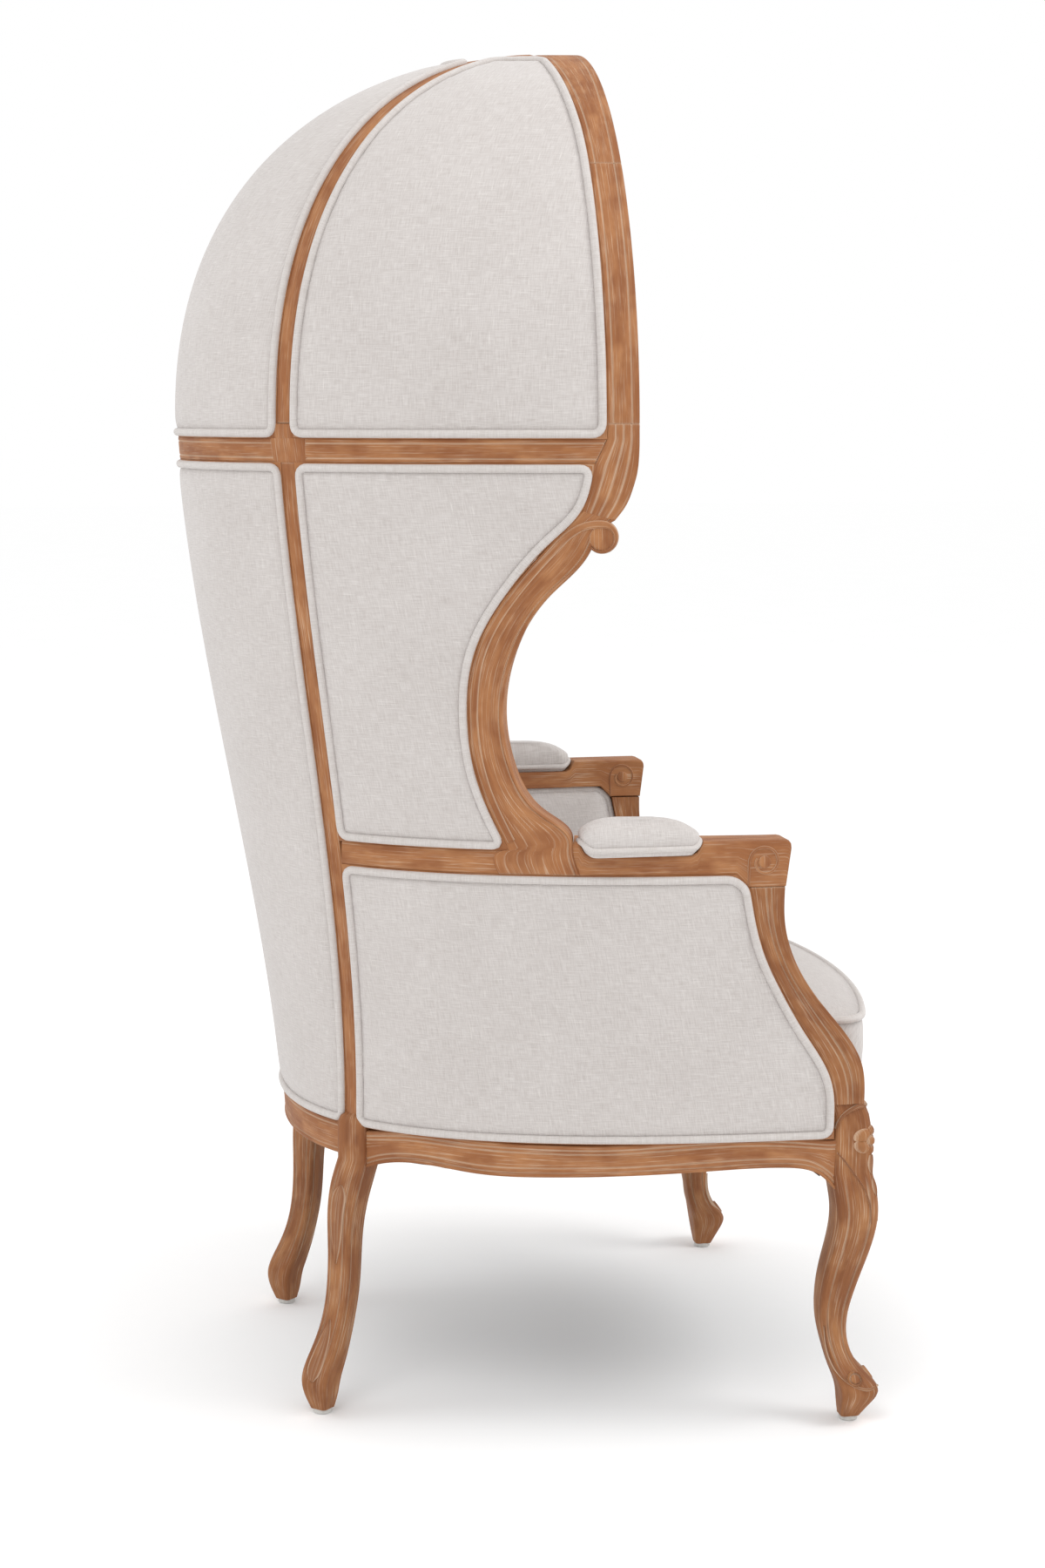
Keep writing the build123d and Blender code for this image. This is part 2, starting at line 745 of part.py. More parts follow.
# Arms: rail with its scrolled end block, and the swept support under it
arm_wall = (arm_thickness, arm_thickness)
pad_rear = wing_front[-1][0] - pad_rear_set
pad_front_edge = pad_rear - arm_pad_length
arm_rail_end = stile_place(wing_sill) - stile_half
arm_rail_outline = closed_outline(
    [(arm_front, arm_height), (support_front, arm_joint)],
    [(support_front, arm_joint), support_back[0]],
    [support_back[0], (arm_block_back + arm_joint_drop, arm_underside)],
    stile_line(-stile_half, arm_underside, wing_sill),
    [(arm_rail_end, wing_sill), wing_foot_front],
    [wing_front[-1], (pad_rear + pad_play, arm_height)],
    [(pad_rear + pad_play, pad_seat), (pad_front_edge - pad_play, pad_seat)],
    [(pad_front_edge - pad_play, arm_height), (arm_front, arm_height)],
)
scroll_y = arm_front + arm_scroll_set
scroll_z = arm_height - arm_scroll_drop
with BuildPart() as arm_rail:
    add(wall_slice(arm_rail_outline, body_form, (0, 0), arm_wall))
    with BuildSketch(Plane.YZ.offset(-half_width(scroll_z) - arm_scroll_proud)):
        with Locations((scroll_y, scroll_z)):
            Circle(arm_scroll_radius)
    extrude(amount=arm_thickness / 2)
    add(right_dowels.part, mode=Mode.SUBTRACT)
save_pair(arm_rail.part, "arm_rail")

support_outline = closed_outline(
    support_points(support_front_share),
    [(support_front - support_sweep, deck_level), support_back[-1]],
    support_back[::-1],
)
with BuildPart() as arm_support:
    add(wall_slice(support_outline, body_form, (0, 0), arm_wall))
    add(right_dowels.part, mode=Mode.SUBTRACT)
save_pair(arm_support.part, "arm_support")

# Outside covers, each drawn in from the piping round it
cover_outer = (-panel_proud, -panel_proud)
cover_inner = (panel_depth, panel_depth)
cover_inset = piping_width + 2 * gap


def cover(opening, form, both=False):
    return wall_slice(inset(opening, cover_inset), form, cover_outer, cover_inner, both)


save_pair(cover(gore_opening, hood_form), "hood_side_cover")
save_pair(cover(wing_opening, body_form), "wing_cover")
save_pair(cover(arm_opening, body_form), "arm_cover")
save(cover(back_opening, body_form, both=True), "back_cover")
save(cover(hood_back_opening, hood_form, both=True), "hood_back_cover")

# Piping round each outside cover
pipe_outer = (-piping_proud, -piping_proud)
pipe_inner = (piping_proud, piping_proud)
with BuildPart() as side_piping:
    add(wall_slice(ring(gore_opening), hood_form, pipe_outer, pipe_inner))
    add(wall_slice(ring(wing_opening), body_form, pipe_outer, pipe_inner))
    add(wall_slice(ring(arm_opening), body_form, pipe_outer, pipe_inner))
save_pair(side_piping.part, "piping")
with BuildPart() as back_piping:
    add(wall_slice(ring(back_opening), body_form, pipe_outer, pipe_inner, both=True))
    add(wall_slice(ring(hood_back_opening), hood_form, pipe_outer, pipe_inner, both=True))
save(back_piping.part, "piping_back")

# Inside upholstery, down to the hessian over the springs
hessian_level = deck_level + clip_height + gap
pad_level = hessian_level + hessian_thickness + gap
lining_outer = (wood_thickness + gap, wood_thickness + gap)
inner_face = (panel_depth + 2 * gap, panel_depth + 2 * gap)
arch_inside = arch_back + gap
lining_outline = closed_outline(
    [(arch_inside, hood_rail_bottom + gap), (behind, hood_rail_bottom + gap)],
    [(behind, height), (arch_inside, height)],
)
save(wall_slice(lining_outline, hood_form, lining_outer, (lining_depth, back_pad_depth), both=True), "hood_lining")

pad_edge = stile_half - gap
inside_back_outline = closed_outline(
    stile_line(-pad_edge, pad_level, hood_rail_bottom - gap),
    [(behind, hood_rail_bottom - gap), (behind, pad_level)],
)
back_pad_inner = (lining_depth, back_pad_depth)
save(wall_slice(inside_back_outline, body_form, lining_outer, back_pad_inner, both=True), "inside_back")

inside_wing_outline = inset(wing_opening, 2 * gap)
wing_pad_inner = (wing_pad_depth, back_pad_depth - (lining_depth - wing_pad_depth))
save_pair(wall_slice(inside_wing_outline, body_form, inner_face, wing_pad_inner), "inside_wing")

with BuildSketch() as inside_arm_outline:
    add(inset(arm_opening, 2 * gap))
    with BuildLine():
        low = pad_level - overrun
        Polyline((seat_front, pad_level), (behind, pad_level), (behind, low), (seat_front, low), close=True)
    make_face(mode=Mode.SUBTRACT)
arm_pad_inner = (lining_depth, back_pad_depth)
save_pair(wall_slice(inside_arm_outline.sketch_local, body_form, inner_face, arm_pad_inner), "inside_arm")

# Webbing across the back, between the stiles
web_step = (hood_rail_bottom - deck_level) / web_count
with BuildSketch() as web_outline:
    with Locations(*[((arch_front + behind) / 2, deck_level + (i + 0.5) * web_step) for i in range(web_count)]):
        Rectangle(behind - arch_front, web_width)
    add(inset(back_opening, gap), mode=Mode.INTERSECT)
web_outer = (wood_thickness - webbing_thickness, wood_thickness - webbing_thickness)
save(wall_slice(web_outline.sketch_local, body_form, web_outer, wall, both=True), "back_webbing")


# Seat: springs and clips on the rails, hessian over them, the stuffed pad and its piping
def seat_plan(z, drawn_in, bulge=0.0):
    """Plan of the seat pad between the arm pads: bowed front, full round back."""
    half, cheek, rear, fullness = wall_plan(z, lining_depth + 2 * gap, back_pad_depth + 2 * gap)
    half = half - drawn_in
    cheek = cheek + drawn_in
    rear = rear - drawn_in
    front = seat_front + drawn_in - bulge
    bow = front - seat_bow * half / seat_half_width
    shoulder = cheek + fullness * (rear - cheek)
    with BuildSketch(Plane.XY.offset(z)) as plan:
        with BuildLine():
            Bezier((-half, cheek), (-half, shoulder), (-fullness * half, rear), (0, rear))
            Bezier((0, rear), (fullness * half, rear), (half, shoulder), (half, cheek))
            Line((half, cheek), (half, front))
            ThreePointArc((half, front), (0, bow), (-half, front))
            Line((-half, front), (-half, cheek))
        make_face()
        fillet(plan.vertices().group_by(Axis.Y)[0], min(seat_corner_radius, 0.9 * (cheek - front)))
    return plan.sketch


def front_rail_face(x):
    """The Y of the front rail's bowed face."""
    radius = (front_rail_end**2 + front_rail_bow**2) / (2 * front_rail_bow)
    drop = radius - (radius**2 - min(abs(x), front_rail_end) ** 2) ** 0.5
    return front_leg_y - leg_width / 2 + front_rail_set - front_rail_bow + drop


def back_at(x, z, depth):
    """The Y where the plan curve at a depth in the back wall passes a given X."""
    half, cheek, rear, fullness = wall_plan(z, depth, depth)
    low, high = 0.0, 1.0
    for _ in range(40):
        t = (low + high) / 2
        spread = half * ((1 - t) ** 3 + 3 * t * (1 - t) ** 2 + 3 * t * t * (1 - t) * fullness)
        low, high = (t, high) if spread > abs(x) else (low, t)
    rise = 3 * t * (1 - t) ** 2 * fullness + 3 * t * t * (1 - t) + t**3
    return cheek + (rear - cheek) * rise


def spring_ends(x):
    """The clips' places on the front and rear rails."""
    front = front_rail_face(x) + front_rail_thickness / 2
    rear = back_at(x, deck_level, (ledge[0] + wood_thickness) / 2)
    return front, rear


spring_places = [(i - (spring_count - 1) / 2) * spring_pitch for i in range(spring_count)]
spring_level = deck_level + gap + spring_wire


def sinuous_spring(x):
    """A flat zigzag wire from the front rail to the rear rail."""
    front, rear = spring_ends(x)
    first = front + spring_bearing
    last = rear - spring_bearing
    waves = int((last - first) / spring_step)
    step = (last - first) / waves
    points = [(x, front - clip_length / 2), (x, first)]
    side = spring_wave
    for i in range(waves):
        points += [(x + side, first + i * step), (x + side, first + (i + 1) * step)]
        side = -side
    points += [(x, last), (x, rear + clip_length / 2)]
    with BuildPart() as spring:
        with BuildLine(Plane.XY.offset(spring_level)) as path:
            FilletPolyline(*points, radius=spring_bend)
        with BuildSketch(Plane(origin=path.line @ 0, z_dir=path.line % 0)):
            Circle(spring_wire)
        sweep()
    return spring.part


with BuildPart() as seat_springs:
    for place in spring_places:
        add(sinuous_spring(place))
save(seat_springs.part, "seat_springs")

with BuildPart() as spring_clips:
    clip_places = [(x, y, deck_level) for x in spring_places for y in spring_ends(x)]
    with Locations(*clip_places):
        Box(clip_width, clip_length, clip_height, align=(Align.CENTER, Align.CENTER, Align.MIN))
    with Locations(*[(x, y, spring_level) for x, y, _ in clip_places]):
        Cylinder(spring_wire + gap, 2 * clip_length, rotation=(90, 0, 0), mode=Mode.SUBTRACT)
        Box(2 * (spring_wire + gap), 2 * clip_length, spring_level - deck_level,
            align=(Align.CENTER, Align.CENTER, Align.MAX), mode=Mode.SUBTRACT)
save(spring_clips.part, "spring_clips")

with BuildPart() as seat_hessian:
    add(seat_plan(hessian_level, seat_corner_radius / 4))
    extrude(amount=hessian_thickness)
save(seat_hessian.part, "seat_hessian")

with BuildPart() as seat_edge_pipe:
    edge_curve = seat_plan(seat_edge_height, 0).edges()
    cheek_line = wall_plan(seat_edge_height, 0, 0)[1]
    pipe_path = Wire(edge_curve.filter_by(lambda edge: edge.center().Y < cheek_line))
    with BuildSketch(Plane(origin=pipe_path @ 0, z_dir=pipe_path % 0)):
        Circle(seat_piping_radius)
    sweep(path=pipe_path)
save(seat_edge_pipe.part, "seat_piping")

with BuildPart() as pipe_channel:
    with BuildSketch(Plane(origin=pipe_path @ 0, z_dir=pipe_path % 0)):
        Circle(seat_piping_radius + gap)
    sweep(path=pipe_path)

with BuildPart() as seat_pad:
    add(seat_plan(pad_level, 0))
    add(seat_plan((pad_level + seat_edge_height) / 2, 0, seat_bulge))
    add(seat_plan(seat_edge_height, 0))
    loft()
    add(seat_plan(seat_edge_height, 0))
    for rise_part, drawn_part in seat_crown_share:
        add(seat_plan(seat_edge_height + rise_part * seat_crown, drawn_part * seat_half_width))
    loft()
    add(pipe_channel.part, mode=Mode.SUBTRACT)
save(seat_pad.part, "seat_pad")

with BuildPart() as dust_cover:
    add(wall_section(rail_bottom - gap - cover_thickness, cover_set, cover_set))
    extrude(amount=cover_thickness)
    front_edge = front_leg_y - leg_width / 2 + front_rail_set + cover_set
    with BuildSketch(Plane.XY.offset(rail_bottom - overrun)):
        with BuildLine():
            ThreePointArc((-side_reach, front_edge), (0, front_edge - front_rail_bow), (side_reach, front_edge))
            Polyline((side_reach, front_edge), (side_reach, 2 * front_edge), (-side_reach, 2 * front_edge),
                     (-side_reach, front_edge))
        make_face()
    extrude(amount=2 * overrun, mode=Mode.SUBTRACT)
    leg_clear = leg_width + 4 * gap
    with Locations(*[(side * front_leg_x, front_leg_y, rail_bottom) for side in (1, -1)]):
        Box(leg_clear, leg_clear, overrun, mode=Mode.SUBTRACT)
    with Locations(*[(side * rear_leg_x, rear_leg_y, rail_bottom) for side in (1, -1)]):
        Box(leg_clear, leg_clear, overrun, rotation=(0, 0, 45), mode=Mode.SUBTRACT)
save(dust_cover.part, "dust_cover")

# Arm pads, seated in the recess of each arm, with piping round the base
pad_centre_x = -half_width(arm_height) + arm_thickness / 2
pad_centre_y = pad_rear - arm_pad_length / 2


def pad_sketch(z, width_loss, length_loss):
    with BuildSketch(Plane((pad_centre_x, pad_centre_y, z))) as plan:
        width = arm_pad_width - width_loss
        length = arm_pad_length - length_loss
        RectangleRounded(width, length, min(arm_pad_corner, 0.45 * width))
    return plan.sketch


pipe_loss = 2 * (pad_piping_width + gap)
pipe_top = pad_seat + gap + pad_piping_height
with BuildPart() as arm_pad:
    add(pad_sketch(pad_seat + gap, pipe_loss, pipe_loss))
    extrude(amount=pad_piping_height + gap)
    for rise_part, drawn_part in pad_crown_share:
        level = pipe_top + gap + rise_part * (arm_pad_rise - pad_piping_height)
        add(pad_sketch(level, drawn_part * arm_pad_width, drawn_part * arm_pad_width))
    loft()
save_pair(arm_pad.part, "arm_pad")

with BuildPart() as arm_pad_piping:
    add(pad_sketch(pad_seat + gap, -gap, -gap))
    extrude(amount=pad_piping_height)
    add(pad_sketch(pad_seat + gap, pipe_loss - 2 * gap, pipe_loss - 2 * gap))
    extrude(amount=pad_piping_height, mode=Mode.SUBTRACT)
    mirror(about=Plane.YZ)
save(arm_pad_piping.part, "arm_pad_piping")
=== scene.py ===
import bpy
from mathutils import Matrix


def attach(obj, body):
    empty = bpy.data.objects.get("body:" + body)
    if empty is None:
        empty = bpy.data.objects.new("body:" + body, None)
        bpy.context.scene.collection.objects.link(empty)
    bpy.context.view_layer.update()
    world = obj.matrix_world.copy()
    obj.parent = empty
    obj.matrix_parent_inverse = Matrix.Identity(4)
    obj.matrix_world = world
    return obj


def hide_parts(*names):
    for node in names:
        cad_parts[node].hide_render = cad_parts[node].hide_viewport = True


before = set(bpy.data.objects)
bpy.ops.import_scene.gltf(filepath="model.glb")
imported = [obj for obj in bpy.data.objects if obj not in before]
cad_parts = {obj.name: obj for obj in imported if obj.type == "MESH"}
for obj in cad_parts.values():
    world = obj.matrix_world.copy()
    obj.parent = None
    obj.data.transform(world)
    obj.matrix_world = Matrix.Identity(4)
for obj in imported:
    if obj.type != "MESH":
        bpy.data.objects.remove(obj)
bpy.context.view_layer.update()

from math import cos, pi, radians, sin

import bmesh
import bpy
import numpy as np
from mathutils import Matrix, Vector

# Lengths are in millimetres until a mesh is made. The sitter looks along -Y and the right is at -X.
MM = 0.001
HEIGHT, HOOD_RISE, HOOD_DEPTH = 1580.0, 440.0, 475.0
HOOD_HALF, ARM_HALF, SEAT_HALF = 360.0, 380.0, 355.0
ARM_TOP, ARCH_FRONT, CHEEK_FRONT, BACK_AT_SEAT = 691.0, -73.0, -346.5, 282.5
RAIL_LOW, RAIL_TOP, DECK = 300.0, 340.0, 380.0
SPRINGING = HEIGHT - HOOD_RISE
HOOD_RAIL_LOW, HOOD_RAIL_TOP, HOOD_JOINT = 1106.0, 1133.0, 1149.0
CROWN_JOINT, GORE_TOP = SPRINGING + 294.0, HEIGHT - 14
ARCH_BACK, ARCH_DEEPER = ARCH_FRONT + 36.5, 15.0
ARM_UNDER, ARM_JOINT, WING_SILL = 653.0, 638.0, 681.0
ARM_FRONT = ARCH_FRONT - 172.0
# How full the plan curve is at the foot of the wall, and the dome seen from the front and from the side
FULLNESS, FULLNESS_LOST, SIDE_POWER, BACK_POWER, BACK_LEAN = 0.69, 0.12, 1.95, 2.3, 0.06
# Thickness of the wood, place of the stiles and ribs in the side view, and half widths beside their middle
WOOD, ARM_WOOD, FRONT_RAIL_WOOD = 34.0, 46.0, 28.0
RIB_SHARE, STILE_FOOT_SHARE, STILE_BOW_SHARE = 0.788, 0.907, 0.026
STILE, BLOCK_FORE, BLOCK_AFT = 9.75, 20.75, 14.25
# Piping and covers in their openings, and the V that joints are cut to
PIPE, PIPE_INSET, PIPE_STEP, PANEL_INSET, CORNER = 4.6, 5.2, 3.5, 7.6, 11.0
JOINT_DEPTH, JOINT_FADE, JOINT_LIME = 0.9, 0.7, 0.8
OUT, FORE, UP = np.array([-1.0, 0, 0]), np.array([0, -1.0, 0]), np.array([0, 0, 1.0])


# The chair's wall: plan curves over height, as in the CAD
def ease(share):
    share = np.clip(share, 0, 1)
    return share * share * (3 - 2 * share)


def half_width(z):
    low = SEAT_HALF + (ARM_HALF - SEAT_HALF) * ease((z - RAIL_LOW) / (ARM_TOP - RAIL_LOW))
    high = ARM_HALF + (HOOD_HALF - ARM_HALF) * ease((z - ARM_TOP) / (SPRINGING - ARM_TOP))
    return np.where(z < ARM_TOP, low, high)


def wall_share(z):
    return np.clip((z - RAIL_LOW) / (SPRINGING - RAIL_LOW), 0, 1)


def back_line(z):
    t = wall_share(z)
    lean = BACK_LEAN * (SPRINGING - RAIL_LOW) * ((t - 2 * t * t + t**3) + (t**3 - t * t))
    return BACK_AT_SEAT + (ARCH_FRONT + HOOD_DEPTH - BACK_AT_SEAT) * ease(t) + lean


def dome_share(up, power):
    return (1 - np.clip(up, 0, 1) ** power) ** (1 / power)


def dome_rise(side, back):
    return HOOD_RISE - (side + back) / 2


def plan(z, side=0.0, back=0.0):
    """Half width, front, rear and fullness of the plan curve at a height, drawn in at the side and the back."""
    z = np.asarray(z, float)
    t = wall_share(z)
    cheek = CHEEK_FRONT + (ARCH_FRONT - CHEEK_FRONT) * t
    fullness = FULLNESS - FULLNESS_LOST * (1 - (1 - t) ** 2)
    up = (z - SPRINGING) / dome_rise(side, back)
    below = z <= SPRINGING
    half = np.where(below, half_width(z) - side, (HOOD_HALF - side) * dome_share(up, SIDE_POWER))
    rear = np.where(below, back_line(z) - back, ARCH_FRONT + (HOOD_DEPTH - back) * dome_share(up, BACK_POWER))
    return half, cheek, rear, fullness


def level(f, side=0.0, back=0.0):
    """Height of a meridian angle: sine-spaced over the dome, even below it."""
    f = np.asarray(f, float)
    over = dome_rise(side, back) * np.sin(np.minimum(f, pi / 2))
    return SPRINGING + np.where(f > 0, over, HOOD_RISE * f)


def angle(z, side=0.0, back=0.0):
    up = np.asarray(z, float) - SPRINGING
    return np.where(up > 0, np.arcsin(np.clip(up / dome_rise(side, back), 0, 1)), up / HOOD_RISE)


def wall(t, f, side=0.0, back=0.0):
    """A point of the wall: t runs 0 to 1 from the cheek to the middle of the back, and on to 2 on the left."""
    t = np.asarray(t, float)
    z = level(f, side, back)
    half, cheek, rear, full = plan(z, side, back)
    left = t > 1
    u = np.where(left, 2 - t, t)
    v = np.maximum(u, 0)
    x = -half * ((1 - v) ** 3 + 3 * v * (1 - v) ** 2 + 3 * v * v * (1 - v) * full)
    depth = rear - cheek
    y = cheek + depth * (3 * v * (1 - v) ** 2 * full + 3 * v * v * (1 - v) + v**3)
    y = y + np.where(u < 0, u * 3 * full * np.maximum(depth, 1), 0)
    return np.stack(np.broadcast_arrays(np.where(left, -x, x), y, z), -1)


def place(y, z, side=0.0, back=0.0):
    """(t, f) of a point given in the side view. Each of 46 steps halves the range that t lies in."""
    y, z = np.broadcast_arrays(np.asarray(y, float), np.asarray(z, float))
    f = angle(z, side, back)
    low, high = np.full(y.shape, -2.5), np.ones(y.shape)
    for _ in range(46):
        mid = (low + high) / 2
        past = wall(mid, f, side, back)[..., 1] > y
        high, low = np.where(past, mid, high), np.where(past, low, mid)
    return np.stack([(low + high) / 2, f], -1)


def partials(tf):
    """How a point of the wall moves with t and with f."""
    e = 1e-4
    t, f = tf[..., 0], tf[..., 1]
    f = np.clip(f, -9, pi / 2 - 2 * e)
    return (wall(t + e, f) - wall(t - e, f)) / (2 * e), (wall(t, f + e) - wall(t, f - e)) / (2 * e)


def unit(a):
    return a / np.maximum(np.linalg.norm(a, axis=-1, keepdims=True), 1e-9)


def normal(tf):
    along, up = partials(tf)
    return unit(np.cross(up, along))


def surf(tf, proud=0.0):
    """Points of the wall, raised by proud along its normals."""
    return wall(tf[..., 0], tf[..., 1]) + normal(tf) * np.asarray(proud, float)[..., None]


def face_at(tf, inner):
    """Points and normals of the wood's outer face, or of the inner face that lies inner below it."""
    return surf(tf, -inner), normal(tf) * (-1 if inner else 1)


def stile_place(z):
    """Y of the middle of a stile, or of the rib over it."""
    _, cheek, rear, _ = plan(z)
    t = np.clip((z - RAIL_TOP) / (HOOD_RAIL_LOW - RAIL_TOP), 0, 1)
    share = STILE_FOOT_SHARE + (RIB_SHARE - STILE_FOOT_SHARE) * t - STILE_BOW_SHARE * t * (1 - t)
    return cheek + share * (rear - cheek)


def stile_at(z):
    return float(stile_place(z))


# Curves
def run_along(points):
    """Length from the start of a line to each of its points."""
    return np.concatenate([[0], np.cumsum(np.linalg.norm(np.diff(points, axis=0), axis=1))])


def at_lengths(line, run, lengths):
    """Points of a line where its run has the given lengths."""
    return np.stack([np.interp(lengths, run, column) for column in line.T], -1)


def smooth(points, count):
    """A natural cubic curve through points, evenly spaced by length."""
    p = np.asarray(points, float)
    s = run_along(p)
    n, h = len(p), np.diff(s)
    m, rhs = np.eye(n), np.zeros_like(p)
    for i in range(1, n - 1):
        m[i, i - 1:i + 2] = h[i - 1], 2 * (h[i - 1] + h[i]), h[i]
        rhs[i] = 6 * ((p[i + 1] - p[i]) / h[i] - (p[i] - p[i - 1]) / h[i - 1])
    c = np.linalg.solve(m, rhs)
    q = np.linspace(0, s[-1], count)
    k = np.clip(np.searchsorted(s, q, "right") - 1, 0, n - 2)
    a, b, w = (s[k + 1] - q)[:, None], (q - s[k])[:, None], h[k][:, None]
    bent = (c[k] * a**3 + c[k + 1] * b**3) / (6 * w)
    return bent + (p[k] / w - c[k] * w / 6) * a + (p[k + 1] / w - c[k + 1] * w / 6) * b


def resample(points, count, metric=None):
    """Points spaced evenly along a line, or along the metric line that goes with it."""
    points = np.asarray(points, float)
    run = run_along(points if metric is None else metric)
    return at_lengths(points, run, np.linspace(0, run[-1], count))


def even(tf, count):
    return resample(tf, count, surf(tf))


def at_shares(tf, shares, count=400):
    """Points of a wall line at shares of its length."""
    return at_lengths(even(tf, count), np.linspace(0, 1, count), shares)


def wall_length(tf):
    return run_along(surf(tf))[-1]


def side_view(points, count, curved=True):
    """A curve drawn in the side view, as (t, f) along the wall."""
    yz = smooth(points, count) if curved and len(points) > 2 else resample(points, count)
    return place(*yz.T)


def offset(tf, distance):
    """A (t, f) curve moved a true distance along the wall, to the left of its direction seen from outside."""
    tangent = unit(np.gradient(surf(tf), axis=0))
    side = np.cross(normal(tf), tangent)
    pt, pf = partials(tf)
    a, b, c = (pt * pt).sum(-1), (pt * pf).sum(-1), (pf * pf).sum(-1)
    u, v = (pt * side).sum(-1) * distance, (pf * side).sum(-1) * distance
    return tf + np.stack([c * u - b * v, a * v - b * u], -1) / (a * c - b * b)[:, None]


def crossing(one, two):
    """Where the end of one curve meets the start of the next: (index, index, point)."""
    reach = 18
    a = np.vstack([one, one[-1] + (one[-1] - one[-2]) * reach])
    b = np.vstack([two[0] - (two[1] - two[0]) * reach, two])
    p, r = a[:-1, None], (a[1:] - a[:-1])[:, None]
    q, s = b[None, :-1], (b[1:] - b[:-1])[None]
    cross = r[..., 0] * s[..., 1] - r[..., 1] * s[..., 0]
    cross = np.where(np.abs(cross) < 1e-15, 1e-15, cross)
    d = q - p
    u = (d[..., 0] * s[..., 1] - d[..., 1] * s[..., 0]) / cross
    v = (d[..., 0] * r[..., 1] - d[..., 1] * r[..., 0]) / cross
    hit = (u >= 0) & (u <= 1) & (v >= 0) & (v <= 1)
    if not hit.any():
        return len(one), 0, (one[-1] + two[0]) / 2
    i, j = max(zip(*np.nonzero(hit)), key=lambda ij: ij[0] - ij[1])
    return i + 1, j, a[i] + (a[i + 1] - a[i]) * u[i, j]


def inset(sides, distance):
    """The sides of an opening moved inwards and trimmed where they meet."""
    moved = [offset(even(side, 60), distance) for side in sides]
    cuts = [crossing(side, after) for side, after in zip(moved, moved[1:] + moved[:1])]
    result = []
    for i, side in enumerate(moved):
        last, _, end = cuts[i]
        _, first, start = cuts[i - 1]
        result.append(even(np.vstack([start, side[first:last], end]), 60))
    return result


def turn_corner(start, corner, end, count):
    """Points of a rounded corner, without its ends."""
    v = np.linspace(0, 1, count + 2)[1:-1, None]
    return (1 - v) ** 2 * start + 2 * v * (1 - v) * corner + v**2 * end


def rounded(sides):
    """One closed line from trimmed sides, with round corners."""
    runs = []
    for side in sides:
        run = run_along(surf(side))
        cut = min(CORNER, 0.45 * run[-1])
        runs.append(at_lengths(side, run, np.linspace(cut, run[-1] - cut, 60)))
    line = []
    for side, run, after in zip(sides, runs, runs[1:] + runs[:1]):
        line += [run, turn_corner(run[-1], side[-1], after[0], 7)]
    line = np.vstack(line + [runs[0][:1]])
    return resample(line, int(wall_length(line) / PIPE_STEP), surf(line))[:-1]


def between(a, b, shares):
    """Rows of points at shares of the way from line a to line b."""
    return a[:, None] + shares[..., None] * (b - a)[:, None]


def between_points(one, two, count=40):
    one, two = np.asarray(one, float), np.asarray(two, float)
    return one + np.linspace(0, 1, count)[:, None] * (two - one)


def swirl(middle, radii, turns):
    return np.stack([middle[0] + radii * np.cos(turns), middle[1] + radii * np.sin(turns)], 1)


# Meshes
def grain_uv(ring, run):
    """Coordinates along a member and round its section."""
    around = np.concatenate([[0], np.cumsum(np.linalg.norm(np.diff(ring, axis=1), axis=-1).mean(0))])
    return np.stack(np.broadcast_arrays(run[:, None], around), -1)


